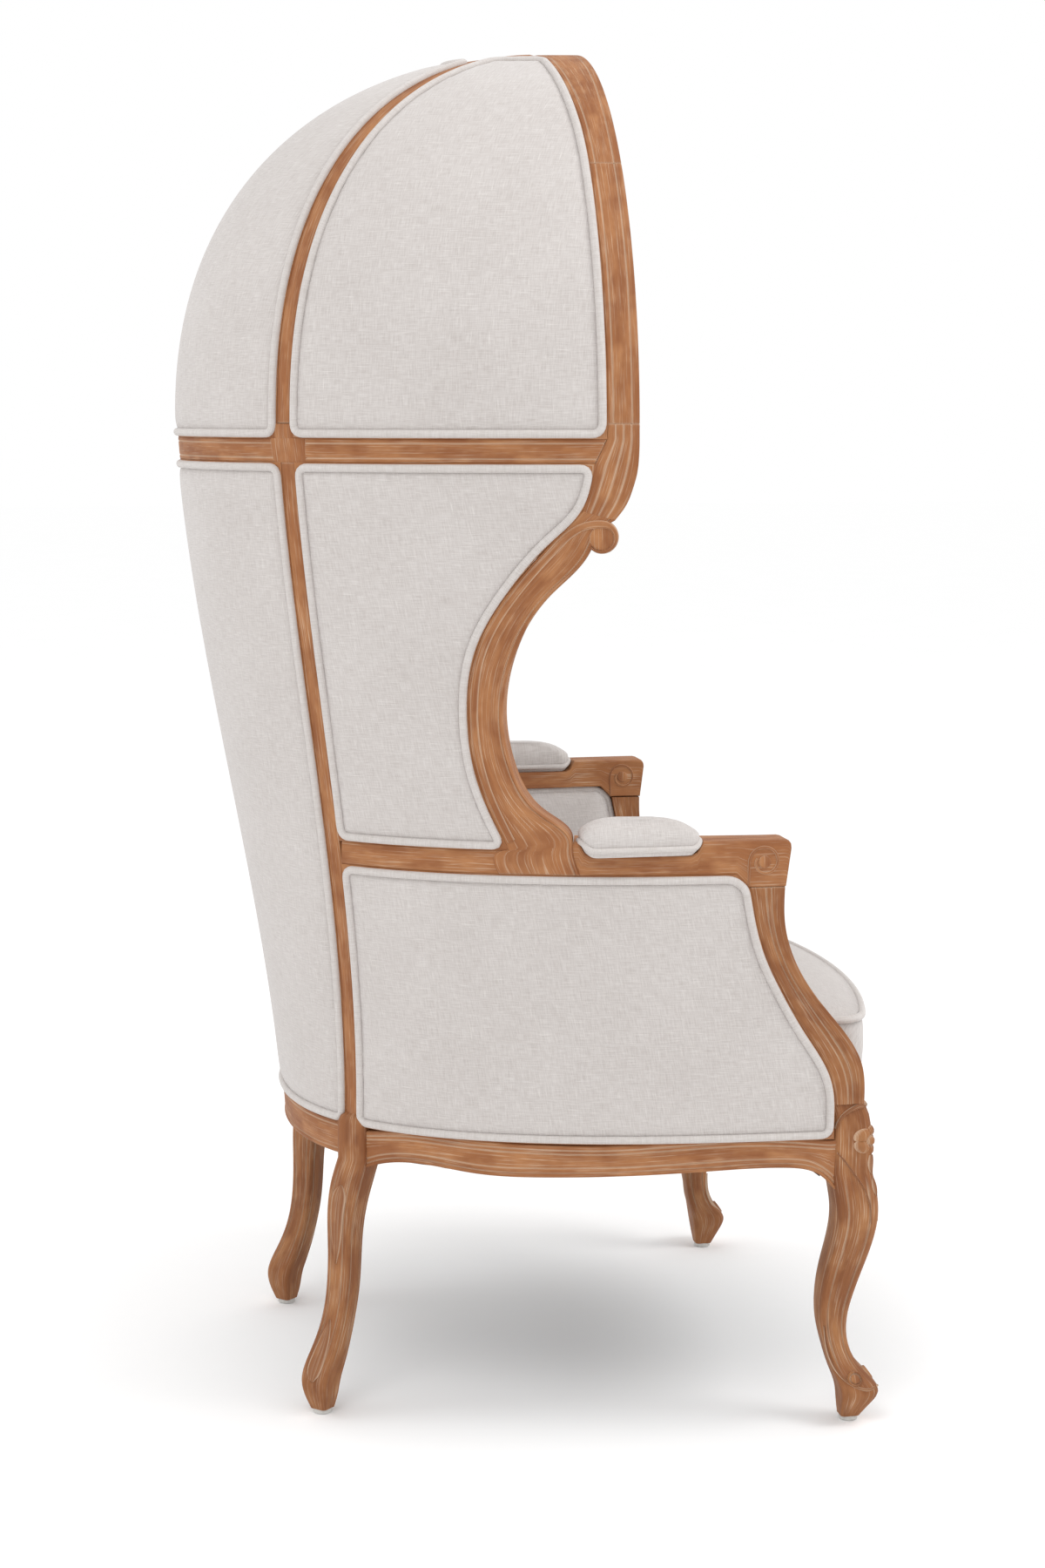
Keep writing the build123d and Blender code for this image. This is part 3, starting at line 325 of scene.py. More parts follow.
class Build:
    """Faces gathered for one piece, in millimetres, with a UV in metres and a mark for lime left in grooves."""

    def __init__(self):
        self.points, self.faces, self.uvs, self.lime, self.count = [], [], [], [], 0

    def add(self, points, lime=0.0):
        shape = points.shape[:-1]
        flat = points.reshape(-1, 3)
        index = self.count + np.arange(len(flat)).reshape(shape)
        self.points.append(flat)
        self.lime.append(np.broadcast_to(np.asarray(lime, float), shape).reshape(-1))
        self.count += len(flat)
        return index

    def quads(self, index, uv):
        corners = np.s_[:-1, :-1], np.s_[:-1, 1:], np.s_[1:, 1:], np.s_[1:, :-1]
        self.faces.append(np.stack([index[corner] for corner in corners], -1).reshape(-1, 4))
        self.uvs.append(np.stack([uv[corner] for corner in corners], -2).reshape(-1, 4, 2))

    def ladder(self, ring, uv):
        """Closes a ring of an even number of points with rungs across it."""
        half = len(ring) // 2
        pairs = np.stack([ring[:half], ring[::-1][:half]], -1)
        self.quads(pairs, np.stack([uv[:half], uv[::-1][:half]], -2))

    def loft(self, sections, lime=0.0, closed=False, uv=None):
        """A solid through closed sections (rows, points round, 3)."""
        sections = np.asarray(sections, float)
        index = self.add(sections, lime)
        index = np.concatenate([index, index[:, :1]], 1)
        if uv is None:
            ring = np.concatenate([sections, sections[:, :1]], 1)
            uv = grain_uv(ring, run_along(sections.mean(1)))
        else:
            uv = np.concatenate([uv, uv[:, :1]], 1)
        if closed:
            index = np.concatenate([index, index[:1]])
            uv = np.concatenate([uv, 2 * uv[-1:] - uv[-2:-1]])
        self.quads(index, uv * MM)
        if not closed:
            for row in (0, -1):
                self.ladder(index[row][:-1], uv[row][:-1] * MM)
        return self

    def shell(self, outer, inner, uv):
        """A solid between two grids of points."""
        a, b = self.add(outer), self.add(inner)
        self.quads(a, uv * MM)
        self.quads(b[:, ::-1], uv[:, ::-1] * MM)
        for edge in (np.s_[0], np.s_[-1], np.s_[:, 0], np.s_[:, -1]):
            self.quads(np.stack([a[edge], b[edge]]), np.stack([uv[edge], uv[edge] + [0, 4.0]]) * MM)
        return self

    def tube(self, line, radius, normals, closed=True):
        """A round cord along a line."""
        if closed:
            tangent = unit(np.roll(line, -1, 0) - np.roll(line, 1, 0))
        else:
            tangent = unit(np.gradient(line, axis=0))
        side = unit(np.cross(tangent, normals))
        up = np.cross(side, tangent)
        a = np.linspace(0, 2 * pi, 12, endpoint=False)[:, None]
        return self.loft(line[:, None] + radius * (np.cos(a) * side[:, None] + np.sin(a) * up[:, None]), closed=closed)

    def mirror(self):
        """The same piece on the other side."""
        other = Build()
        other.points = [p * [-1, 1, 1] for p in self.points]
        other.faces = [f[:, ::-1] for f in self.faces]
        other.uvs = [t[:, ::-1] for t in self.uvs]
        other.lime, other.count = list(self.lime), self.count
        return other

    def both(self):
        """The piece and its mirror image in one."""
        other = self.mirror()
        self.points += other.points
        self.faces += [f + self.count for f in other.faces]
        self.uvs += other.uvs
        self.lime += other.lime
        self.count += other.count
        return self

    def make(self, name, material, slot, nodes=(), smooth_angle=38, fill=None):
        points = np.vstack(self.points) * MM
        faces, uvs = np.vstack(self.faces), np.concatenate(self.uvs)
        mesh = bpy.data.meshes.new(name)
        mesh.from_pydata(points.tolist(), [], faces.tolist())
        layer = mesh.uv_layers.new(name="cloth_and_grain")
        layer.data.foreach_set("uv", uvs.reshape(-1))
        mark = mesh.attributes.new("lime", "FLOAT", "POINT")
        mark.data.foreach_set("value", np.concatenate(self.lime))
        obj = bpy.data.objects.new(name, mesh)
        bpy.context.scene.collection.objects.link(obj)
        tidy(mesh)
        mesh.shade_smooth()
        mesh.set_sharp_from_angle(angle=radians(smooth_angle))
        mesh.materials.append(material)
        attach(obj, "root")
        if nodes:
            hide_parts(*nodes)
        return obj

    def make_pair(self, name, material, slot, node=None, **how):
        """The piece on the sitter's right, and its mirror image on the left."""
        for side, build in (("right", self), ("left", self.mirror())):
            build.make(f"{name}_{side}", material, slot, (f"{node}_{side}",) if node else (), **how)


def tidy(mesh):
    """Joins points that meet, drops flat faces and turns every face outwards."""
    shape = bmesh.new()
    shape.from_mesh(mesh)
    bmesh.ops.remove_doubles(shape, verts=shape.verts, dist=0.00003)
    bmesh.ops.dissolve_degenerate(shape, dist=0.00001, edges=shape.edges)
    bmesh.ops.recalc_face_normals(shape, faces=shape.faces)
    shape.to_mesh(mesh)
    shape.free()


# Profiles from an edge of a member: distance across, height and lime
EDGE = [(0.0, -2.6, 0), (0.35, -1.2, 0), (1.2, -0.3, 0), (2.6, 0.0, 0)]
GROOVE = [(-1.5, 0.0, 0), (-0.75, -0.15, 0.4), (0.0, -0.9, 1), (0.75, -0.15, 0.4), (1.5, 0.0, 0)]
BEAD = [(0.0, -1.6, 0), (0.5, -0.1, 0), (1.8, 0.9, 0), (3.3, 0.9, 0),
        (4.6, -0.1, 0), (5.2, -0.9, 1), (5.9, -0.1, 0.4), (7.0, 0, 0)]
# Bosses from their middle out: share of the radius, share of the height, and lime
SPIRAL = [(.04, 1, 0), (.2, 1, 0), (.38, .95, 0), (.5, .85, 0), (.57, .2, .9), (.63, .1, 1), (.69, .5, .3),
          (.78, .95, 0), (.86, 1, 0), (.93, .85, 0), (.98, .4, .2), (1, 0, .6), (1, -1.2, .3)]
DISC = [(.04, 1, 0), (.3, 1, 0), (.6, .97, 0), (.8, .9, 0), (.9, .75, 0), (.97, .45, .2), (1, .1, .8), (1.02, -1.2, .3)]
FLOWER = [(.05, 1.3, 0), (.17, 1.25, 0), (.26, .9, .2), (.32, .3, 1), (.40, .65, .3), (.55, 1.0, 0),
          (.75, .95, 0), (.9, .6, 0), (1.0, 0, .7), (1.02, -1.2, .4)]
# A raised bead: share of its half width, share of its height, and lime
TRAIL = [(-1.12, -.05, 0), (-1, -.05, 1), (-.86, .45, .5), (-.6, .85, 0), (0, 1, 0),
         (.6, .85, 0), (.86, .45, .5), (1, -.05, 1), (1.12, -.05, 0)]
# A leaf: share of its half width, share of its height, and lime
LEAF = [(-1, -1.5, .8), (-1, .1, 1), (-.9, .5, .6), (-.7, .85, 0), (-.15, .7, .2), (0, 1.0, 0),
        (.15, .7, .2), (.7, .85, 0), (.9, .5, .6), (1, .1, 1), (1, -1.5, .8), (0, -1.5, 0)]


def grooves(*places):
    return [(at + across, depth, lime) for at in places for across, depth, lime in GROOVE]


def boss(build, middle, n, up, radius, proud, shape=SPIRAL, petals=0, bend=0.0):
    """A round boss on a face with normal n, bent round a radius where bend is given."""
    side = np.cross(up, n)
    a = np.linspace(0, 2 * pi, 64, endpoint=False)[:, None]
    lobes = np.abs(np.cos(petals * a / 2))
    rings = []
    for share, high, _ in shape:
        r, h = radius * share + 0 * a, high * proud + 0 * a
        if petals and share > 0.35:
            r, h = r * (0.80 + 0.20 * lobes**0.5), h * (0.35 + 0.65 * lobes**0.6)
        elif not petals and 0.45 < share < 0.85:
            r = r * (1 + 0.14 * a / (2 * pi))
        rings.append(middle + r * (np.cos(a) * side + np.sin(a) * up) + n * h)
    rings = np.array(rings)
    uv = np.stack([(rings - middle) @ up, (rings - middle) @ side], -1)
    if bend:
        rings -= n * (np.hypot(uv[..., 1], bend) - bend)[..., None]
    return build.loft(rings, np.array(shape)[:, 2:], uv=uv)


def wall_boss(build, y, z, radius, proud, shape=SPIRAL, inner=0.0):
    middle, n = face_at(place(y, z), inner)
    boss(build, middle, n, unit(UP - n * n[2]), radius, proud, shape)


def trail(build, points, widths, heights, count, inner=0.0):
    """A raised bead along points of the side view, with lime along its foot."""
    size = len(points)
    fine = smooth(np.column_stack([points, np.broadcast_to(widths, size), np.broadcast_to(heights, size)]), count)
    p, n = face_at(place(fine[:, 0], fine[:, 1]), inner)
    side = np.cross(n, unit(np.gradient(p, axis=0)))
    half, high = np.maximum(fine[:, 2:3], 0.3) / 2, fine[:, 3:]
    rows = [p + side * half * x + n * high * h for x, h, _ in TRAIL] + [p - n * 1.5]
    build.loft(np.stack(rows, 1), [lime for _, _, lime in TRAIL] + [0])


def leaf(build, line, widths, n, high):
    """A raised leaf along a line, with a ridge down its middle."""
    fine = smooth(np.column_stack([line, widths]), 40)
    line, widths = fine[:, :3], np.maximum(fine[:, 3:], 0.05)
    side = unit(np.cross(unit(np.gradient(line, axis=0)), n))
    ring = np.stack([line + side * widths * x + n * high * h for x, h, _ in LEAF], 1)
    build.loft(ring, [lime for _, _, lime in LEAF])


# Lines on the wall
def level_line(z, y0, y1, count=30):
    return place(np.linspace(y0, y1, count), z)


def upright(line_of_z, low, high, count=60):
    """A line up the wall at the Y that line_of_z gives."""
    z = level(np.linspace(angle(low), angle(high), count))
    return place(line_of_z(z), z)


def arch_line(z):
    """Y of the arch's back edge."""
    up = np.clip((z - CROWN_JOINT) / (HEIGHT - CROWN_JOINT), 0, 1)
    return ARCH_BACK + ARCH_DEEPER * up * up


def stile_side(low, high, away):
    """A line beside the middle of a stile or rib, at a true distance from it that is negative in front."""
    line = offset(upright(stile_place, low - 6, high + 4 if high < GORE_TOP - 1 else high, 70), away)
    f = np.linspace(angle(low), angle(high), 70)
    return np.stack([np.interp(f, line[:, 1], line[:, 0]), f], -1)


def left_of(line):
    return np.stack([2 - line[:, 0], line[:, 1]], -1)


def round_back(t, f, count=60):
    """A level line round the back, from t on the right to its mirror image on the left."""
    return between_points([t, f], [2 - t, f], count)


# Openings, each as bottom, front, top and rear sides, taken round with the opening on the left
def opening(rear, front, count=40):
    """An opening with straight bottom and top between two upward lines."""
    bottom, top = between_points(rear[0], front[0], count), between_points(front[-1], rear[-1], count)
    return [bottom, front, top, rear[::-1]]


def wing_points(*shares):
    return [(ARCH_FRONT + 147.5 * y, ARM_TOP + (SPRINGING - ARM_TOP) * z) for y, z in shares]


def support_points(*shares):
    return [(ARM_FRONT + 7 - 103 * y, DECK + (ARM_JOINT - DECK) * z) for y, z in shares]


WING_FRONT = wing_points((0.360, 0.718), (0.661, 0.606), (0.904, 0.476), (1.0, 0.323),
                         (0.928, 0.176), (0.713, 0.069), (0.490, 0.0))
WING_BACK = wing_points((0.352, 0.899), (0.432, 0.811), (0.661, 0.733), (0.953, 0.620),
                        (1.194, 0.475), (1.254, 0.322), (1.182, 0.151), (0.989, 0.020))
SHOULDER_FRONT = wing_points((0, 0.971), (0.020, 0.898), (0.047, 0.867), (0.100, 0.825), (0.185, 0.788))
SUPPORT_FRONT = support_points((0, 1), (0.006, 0.854), (0.100, 0.704), (0.274, 0.569),
                               (0.565, 0.416), (0.797, 0.300), (0.964, 0.170), (1, 0))
SUPPORT_BACK = support_points((-0.398, 1), (-0.288, 0.794), (-0.184, 0.674), (-0.042, 0.559),
                              (0.300, 0.327), (0.567, 0.154), (0.632, 0.075), (0.655, 0))
TOP_CORNER = (-23.5, HOOD_RAIL_LOW)
WING_END, SUPPORT_END = WING_FRONT[-1][0], SUPPORT_BACK[-1][0]
WING_FOOT = (WING_BACK[-1][0] - 5, WING_SILL)
ARM_CORNER = (ARM_FRONT + 63.5, ARM_UNDER)

rib_rear = stile_side(HOOD_RAIL_TOP, GORE_TOP, STILE)
stile_rear = stile_side(RAIL_TOP, HOOD_RAIL_LOW, STILE)
stile_low = stile_side(RAIL_TOP, ARM_UNDER, -STILE)
gore_hole = opening(stile_side(HOOD_RAIL_TOP, GORE_TOP, -STILE), upright(arch_line, HOOD_RAIL_TOP, GORE_TOP))
wing_hole = opening(stile_side(WING_SILL, HOOD_RAIL_LOW, -STILE),
                    side_view([WING_FOOT] + WING_BACK[-2:0:-1] + [TOP_CORNER], 90))
arm_curve = np.vstack([
    side_view([(SUPPORT_END, RAIL_TOP), (SUPPORT_END, DECK)], 8)[:-1],
    side_view(SUPPORT_BACK[::-1], 60),
    side_view([SUPPORT_BACK[0], ARM_CORNER], 6)[1:],
])
arm_hole = [level_line(RAIL_TOP, stile_at(RAIL_TOP) - STILE, SUPPORT_END, 60), arm_curve,
            level_line(ARM_UNDER, ARM_CORNER[0], stile_at(ARM_UNDER) - STILE, 60), stile_low[::-1]]
arm_hole[0][0], arm_hole[2][-1] = stile_low[0], stile_low[-1]
back_hole = opening(left_of(stile_rear), stile_rear, 80)
hood_back_hole = opening(left_of(rib_rear), rib_rear, 60)

# Cloth coordinates over the wall, in millimetres
CLOTH_T, CLOTH_F = np.linspace(-2.5, 4.5, 1401), np.linspace(-2, pi / 2, 240)
CLOTH_RUN = run_along(wall(CLOTH_T, 0 * CLOTH_T))
CLOTH_UP = run_along(wall(np.full(240, .5), CLOTH_F))
CLOTH_SPAN = np.array([run_along(wall(np.linspace(0, 1, 40), np.full(40, f)))[-1] for f in CLOTH_F])
CLOTH_SPAN /= np.interp(0, CLOTH_F, CLOTH_SPAN)


def cloth_uv(tf):
    """Coordinates of cloth that lies on the wall, true to size at the middle of the piece."""
    t, f = tf[..., 0], tf[..., 1]
    run = np.interp(t, CLOTH_T, CLOTH_RUN) - np.interp(t.mean(), CLOTH_T, CLOTH_RUN)
    return np.stack([run * np.interp(f, CLOTH_F, CLOTH_SPAN), np.interp(f, CLOTH_F, CLOTH_UP)], -1)


def patch(sides, count):
    """A grid of (t, f) between four sides, closer spaced at its borders, with each point's distance from them."""
    even_share = 0.45
    u = even_share * np.linspace(0, 1, count)
    u += (1 - even_share) * (0.5 - 0.5 * np.cos(np.linspace(0, pi, count)))
    bottom, front, top, rear = (at_shares(side, u, 300) for side in (*sides[:2], sides[2][::-1], sides[3][::-1]))
    uu, vv = u[None, :, None], u[:, None, None]
    tf = (1 - vv) * bottom[None] + vv * top[None] + (1 - uu) * rear[:, None] + uu * front[:, None]
    tf -= (1 - uu) * (1 - vv) * bottom[0] + uu * (1 - vv) * bottom[-1] + (1 - uu) * vv * top[0] + uu * vv * top[-1]
    points = surf(tf)
    wide = np.linalg.norm(np.diff(points, axis=1), axis=-1).sum(1)[:, None]
    tall = np.linalg.norm(np.diff(points, axis=0), axis=-1).sum(0)[None]
    near = np.minimum(u, 1 - u)
    return tf, np.minimum(near[None] * wide, near[:, None] * tall)


def panel(sides, count):
    """A stretched cover: taut, a little full, and drawn down along its piping."""
    tf, edge = patch(inset(sides, PANEL_INSET), count)
    uv = cloth_uv(tf)
    sunk, swell, pucker, depth = 1.4, 3.0, 0.25, 8.0
    full = -sunk + (swell + sunk) * (1 - np.exp(-edge / 6.5))
    full += pucker * np.exp(-edge / 9) * (np.sin(uv[..., 0] / 3.1) + np.sin(uv[..., 1] / 3.7))
    return Build().shell(surf(tf, full), surf(tf, -depth), uv)


def pads(sides, count, outer, side_depth, rear_depth, edge_depth=WOOD, soft=14.0):
    """Inside padding behind an opening: full towards the sitter and drawn in at its edges."""
    tf, edge = patch(inset(sides, 1.0), count)
    turn = normal(tf)[..., 1] ** 2
    depth = side_depth + (rear_depth - side_depth) * turn
    depth = edge_depth + (depth - edge_depth) * (1 - np.exp(-edge / soft))
    return Build().shell(surf(tf, -depth), surf(tf, -outer), cloth_uv(tf))


def piping(build, sides, by=PIPE_INSET, proud=0.4):
    line = rounded(inset(sides, by))
    build.tube(surf(line, proud), PIPE, normal(line))


def rebate(build, sides):
    """The wood's edge inside an opening, which fills the corners behind the piping."""
    near, far = inset(sides, PIPE_INSET), inset(sides, -0.5)
    cuts = [min(CORNER / wall_length(side), 0.45) for side in near]
    bend = np.linspace(0, 1, 11)[1:-1]
    before, beyond = bend[bend < 0.5], bend[bend >= 0.5]
    inner, outer = [], []
    for i, cut in enumerate(cuts):
        after = (i + 1) % len(sides)
        body = np.linspace(cut, 1 - cut, 60)
        start, end = at_shares(near[i], body), at_shares(near[after], cuts[after])
        inner += [start, turn_corner(start[-1], near[i][-1], end, len(bend))]
        outer += [at_shares(far[i], body), at_shares(far[i], 1 - cut * (1 - 2 * before)),
                  at_shares(far[after], cuts[after] * (2 * beyond - 1))]
    inner, outer = np.vstack(inner), np.vstack(outer)
    rows = np.stack([surf(outer, -0.35), surf(inner, -0.35), surf(inner, -9.0), surf(outer, -9.0)], 1)
    build.loft(rows, closed=True)


# Materials
def srgb(r, g, b):
    return tuple(((c / 255 + 0.055) / 1.055) ** 2.4 for c in (r, g, b)) + (1.0,)


class Material:
    def __init__(self, name, roughness, metallic=0.0, sheen=0.0, specular=0.4):
        self.data = bpy.data.materials.new(name)
        self.data.use_nodes = True
        self.tree = self.data.node_tree
        self.shader = self.tree.nodes["Principled BSDF"]
        values = {"Roughness": roughness, "Metallic": metallic, "Sheen Weight": sheen, "Specular IOR Level": specular}
        for key, value in values.items():
            self.shader.inputs[key].default_value = value

    def node(self, kind, inputs=(), out=0, **settings):
        node = self.tree.nodes.new("ShaderNode" + kind)
        for key, value in settings.items():
            setattr(node, key, value)
        for key, value in dict(inputs).items():
            if isinstance(value, bpy.types.NodeSocket):
                self.tree.links.new(value, node.inputs[key])
            else:
                node.inputs[key].default_value = value
        return node.outputs[out]

    def cloth_and_grain(self):
        return self.node("UVMap", uv_map="cloth_and_grain")

    def noise(self, vector, scale, detail=3.0, rough=0.5):
        moved = self.node("Mapping", {"Vector": vector, "Scale": scale})
        return self.node("TexNoise", {"Vector": moved, "Scale": 1.0, "Detail": detail, "Roughness": rough})

    def band(self, value, low, high, dark=0.0, light=1.0):
        limits = {"From Min": low, "From Max": high, "To Min": dark, "To Max": light}
        return self.node("MapRange", {"Value": value, **limits})

    def math(self, operation, one, two):
        return self.node("Math", {0: one, 1: two}, operation=operation)

    def plus(self, one, two):
        return self.math("ADD", one, two)

    def times(self, one, two):
        return self.math("MULTIPLY", one, two)

    def mix(self, share, one, two):
        return self.node("Mix", {0: share, 6: one, 7: two}, 2, data_type="RGBA")

    def finish(self, colour, height, depth=0.0005, rough=None):
        self.tree.links.new(colour, self.shader.inputs["Base Color"])
        if rough is not None:
            self.tree.links.new(rough, self.shader.inputs["Roughness"])
        bump = self.node("Bump", {"Height": height, "Distance": depth, "Strength": 0.8})
        self.tree.links.new(bump, self.shader.inputs["Normal"])
        return self.data


def linen(name, light, dark, streak=1.0):
    m = Material(name, 0.92, sheen=0.25, specular=0.2)
    uv = m.cloth_and_grain()
    weft = m.noise(uv, (60, 900, 1), 2.0, 0.6)
    warp = m.noise(uv, (900, 60, 1), 2.0, 0.6)
    slub = m.band(m.noise(uv, (45, 620, 1), 1.0), 0.60, 0.78)
    slub_up = m.band(m.noise(uv, (620, 45, 1), 1.0), 0.62, 0.80)
    threads = m.plus(weft, warp)
    cloud = m.noise(uv, (9, 9, 9), 3.0)
    tone = m.plus(m.band(threads, 0.72, 1.28), m.times(m.band(cloud, 0.3, 0.7), 0.22))
    colour = m.mix(m.times(tone, 0.82), dark, light)
    colour = m.mix(m.times(m.math("MAXIMUM", slub, slub_up), 0.25 * streak), colour, srgb(238, 234, 229))
    height = m.plus(threads, m.times(m.plus(slub, slub_up), 0.5))
    return m.finish(colour, height, 0.00035)


def limed_wood(name, pale, mid, deep):
    """Wood with its grain along U, and lime in its pores and in the grooves that carry the lime mark."""
    m = Material(name, 0.62, specular=0.3)
    uv, lime, chalk = m.cloth_and_grain(), srgb(221, 199, 174), 0.62
    figure = m.noise(uv, (5, 95, 1), 4.0, 0.55)
    pores = m.noise(uv, (16, 700, 1), 3.0, 0.6)
    fine = m.noise(uv, (45, 1500, 1), 2.0, 0.6)
    patchy = m.noise(uv, (14, 30, 1), 3.0, 0.6)
    colour = m.mix(m.band(figure, 0.34, 0.66), deep, mid)
    colour = m.mix(m.band(patchy, 0.42, 0.70), colour, pale)
    streaks = m.times(m.band(pores, 0.54, 0.66), m.band(patchy, 0.30, 0.62, 0.15, 1.0))
    colour = m.mix(m.times(streaks, 0.45), colour, lime)
    colour = m.mix(m.times(m.band(fine, 0.30, 0.46, 1.0, 0.0), 0.35), colour, deep)
    mark = m.node("Attribute", out=2, attribute_name="lime")
    rubbed = m.times(mark, m.band(pores, 0.30, 0.60, 0.55, 1.0))
    colour = m.mix(m.times(rubbed, chalk), colour, lime)
    height = m.plus(pores, m.times(figure, 0.6))
    return m.finish(colour, height, 0.0004, m.band(pores, 0.3, 0.7, 0.52, 0.74))


def plain(name, light, dark, roughness, metallic=0.0, scale=60, depth=0.0002, stretch=(1, 1, 1), specular=0.4):
    """A finish for pieces without cloth coordinates."""
    m = Material(name, roughness, metallic, specular=specular)
    where = m.node("TexCoord", out=3)
    coarse = m.noise(where, tuple(scale * s for s in stretch), 4.0, 0.6)
    fine = m.noise(where, tuple(12 * scale * s for s in stretch), 2.0, 0.6)
    colour = m.mix(m.band(m.plus(coarse, m.times(fine, 0.5)), 0.5, 1.0), dark, light)
    rough = m.band(coarse, 0.3, 0.7, max(roughness - 0.08, 0), min(roughness + 0.08, 1))
    return m.finish(colour, fine, depth, rough)


def woven(name, light, dark, pitch):
    """A coarse weave, with the pitch of its threads in metres."""
    m = Material(name, 0.9, specular=0.15)
    uv = m.cloth_and_grain()
    turns = m.node("Mapping", {"Vector": uv, "Scale": (2 * pi / pitch, 2 * pi / pitch, 1)})
    split = m.node("SeparateXYZ", {0: turns}).node.outputs
    warp, weft = m.math("SINE", split[0], 0.0), m.math("SINE", split[1], 0.0)
    cloth = m.plus(m.times(warp, 0.25), m.times(weft, 0.25))
    tone = m.plus(cloth, m.noise(uv, (1.2 / pitch, 1.2 / pitch, 1), 3.0))
    return m.finish(m.mix(m.band(tone, 0.1, 0.95), dark, light), tone)


LINEN = linen("linen", srgb(206, 201, 198), srgb(181, 174, 170))
PIPING = linen("linen_piping", srgb(208, 203, 200), srgb(186, 179, 174), 0.6)
WOOD_FINISH = limed_wood("limed_wood", srgb(175, 122, 79), srgb(156, 101, 60), srgb(131, 79, 45))
# A darker copy of the limed wood: painted shade on the legs and the arm supports, which sit low and out of the light
# from above.
LEG_PAINTED_SHADE_FINISH = limed_wood("limed_wood_painted_shade", srgb(164, 113, 71), srgb(144, 91, 52), srgb(120, 71, 39))
BARE_WOOD = plain("bare_wood", srgb(214, 184, 142), srgb(176, 140, 98), 0.7, scale=22, stretch=(1, 1, 7), depth=0.0004)
ZINC = plain("zinc_plate", srgb(186, 188, 190), srgb(140, 142, 146), 0.34, 1.0, scale=90)
GLIDE = plain("glide_plastic", srgb(206, 204, 200), srgb(182, 180, 176), 0.45, scale=70)
FLOOR = plain("studio_floor", srgb(255, 255, 255), srgb(254, 254, 254), 0.95, scale=3, specular=0.0)
JUTE = woven("jute_webbing", srgb(190, 162, 118), srgb(128, 102, 68), 0.004)
HESSIAN = woven("hessian", srgb(196, 166, 118), srgb(120, 94, 60), 0.003)
DUST_CLOTH = woven("black_dust_cloth", srgb(58, 58, 60), srgb(30, 30, 31), 0.0015)


# Show-wood. The legs and the arm supports are darker than the rest: they take a darker copy of the same wood, which is
# painted shade for the light from above that reaches them less.
def wood_finish(node):
    return LEG_PAINTED_SHADE_FINISH if node.startswith(("front_leg", "rear_leg", "arm_support")) else WOOD_FINISH


def wood(build, node):
    build.make(f"carved_{node}", wood_finish(node), "show_wood", (node,))


def wood_pair(build, node):
    build.make_pair(f"carved_{node}", wood_finish(node), "show_wood", node)


def lines(*shares, wide):
    """Grooves along the middle of a member, at shares of its width."""
    section = ((-wide, 0, 0), (-wide / 2, -0.15, .3), (0, -0.9, 1), (wide / 2, -0.15, .3), (wide, 0, 0))
    return [(share + across, depth, lime) for share in shares for across, depth, lime in section]


def joints(line, rows):
    """Evenly spaced rows, with a few close to each end for the V of a joint."""
    length = wall_length(even(line, 400))
    near = np.array([0, 0.5, 1.3, 2.2]) / length
    share = np.concatenate([near, np.linspace(0, 1, rows)[1:-1], 1 - near[::-1]])
    share = np.unique(np.clip(share, 0, 1))
    return at_shares(line, share), share * length, length


def joint_drop(run, length, ends):
    """How far each row sinks into the V of a joint at the ends that have one."""
    at_start, at_stop = np.exp(-run / JOINT_FADE), np.exp(-(length - run) / JOINT_FADE)
    return -JOINT_DEPTH * (at_start * ends[0] + at_stop * ends[1])[:, None]


def strip(a, b, from_a, from_b, middle=()):
    """The outer face between edges a and b as a grid of (t, f), with the height and lime of each column."""
    width = np.linalg.norm(surf(b) - surf(a), axis=-1)
    room = max(x for x, _, _ in from_a) + max(x for x, _, _ in from_b) + 1.0
    squeeze = np.minimum(1, width / room) / np.maximum(width, 0.01)
    columns = [*from_a, *middle, *from_b[::-1]]
    across = [x * squeeze for x, _, _ in from_a] + [np.full(len(a), x) for x, _, _ in middle]
    across += [1 - x * squeeze for x, _, _ in from_b[::-1]]
    if len(columns) % 2:
        across.append(across[-1])
        columns.append((0, from_b[0][1] - 1.0, 0))
    _, heights, lime = np.array(columns, float).T
    return between(a, b, np.stack(across, 1)), heights, lime


def inner_face(a, b, thick):
    """A member's inner face between its edges, with its own corners taken off."""
    shares, depths = np.array([0.97, 0.985, 0.015, 0.03]), np.array([thick - 2, thick, thick, thick - 2])
    return surf(between(a, b, shares), -depths)


def close_member(outside, inside, lime, run):
    """The solid of a member from the rows of its faces, with no lime on the inner one."""
    ring = np.concatenate([outside, inside], 1)
    marks = np.concatenate([np.broadcast_to(lime, outside.shape[:2]), np.zeros(inside.shape[:2])], 1)
    return Build().loft(ring, np.clip(marks, 0, 1), uv=grain_uv(ring, run))


# Members of the frame
def member(a, b, from_a=EDGE, from_b=EDGE, middle=(), thick=WOOD, rows=60, ends=(True, True), rise=None):
    """A wooden member between two edge lines on the wall, with its joints cut in."""
    (a, run, length), (b, _, _) = joints(a, rows), joints(b, rows)
    n = min(len(a), len(b))
    a, b, run = a[:n], b[:n], run[:n]
    drop = joint_drop(run, length, ends)
    tf, heights, lime = strip(a, b, from_a, from_b, middle)
    proud = heights + drop
    if rise:
        proud = proud + rise(level((a + b)[:, 1] / 2))[:, None]
    return close_member(surf(tf, proud), inner_face(a, b, thick), lime + np.clip(-drop * JOINT_LIME, 0, 1), run)


def plain_member(top, low, from_a, from_b, thick):
    """A member whose edges are given point by point in the side view."""
    a, b = place(*top.T), place(*low.T)
    tf, heights, lime = strip(a, b, from_a, from_b)
    shares = np.array([0.985, 0.96, 0.5, 0.04, 0.015, 0.0])
    inside = surf(between(a, b, shares), np.array([2.4, 0, 0, 0, 2.4, 5]) - thick)
    return close_member(surf(tf, heights), inside, lime, run_along(surf((a + b) / 2)))


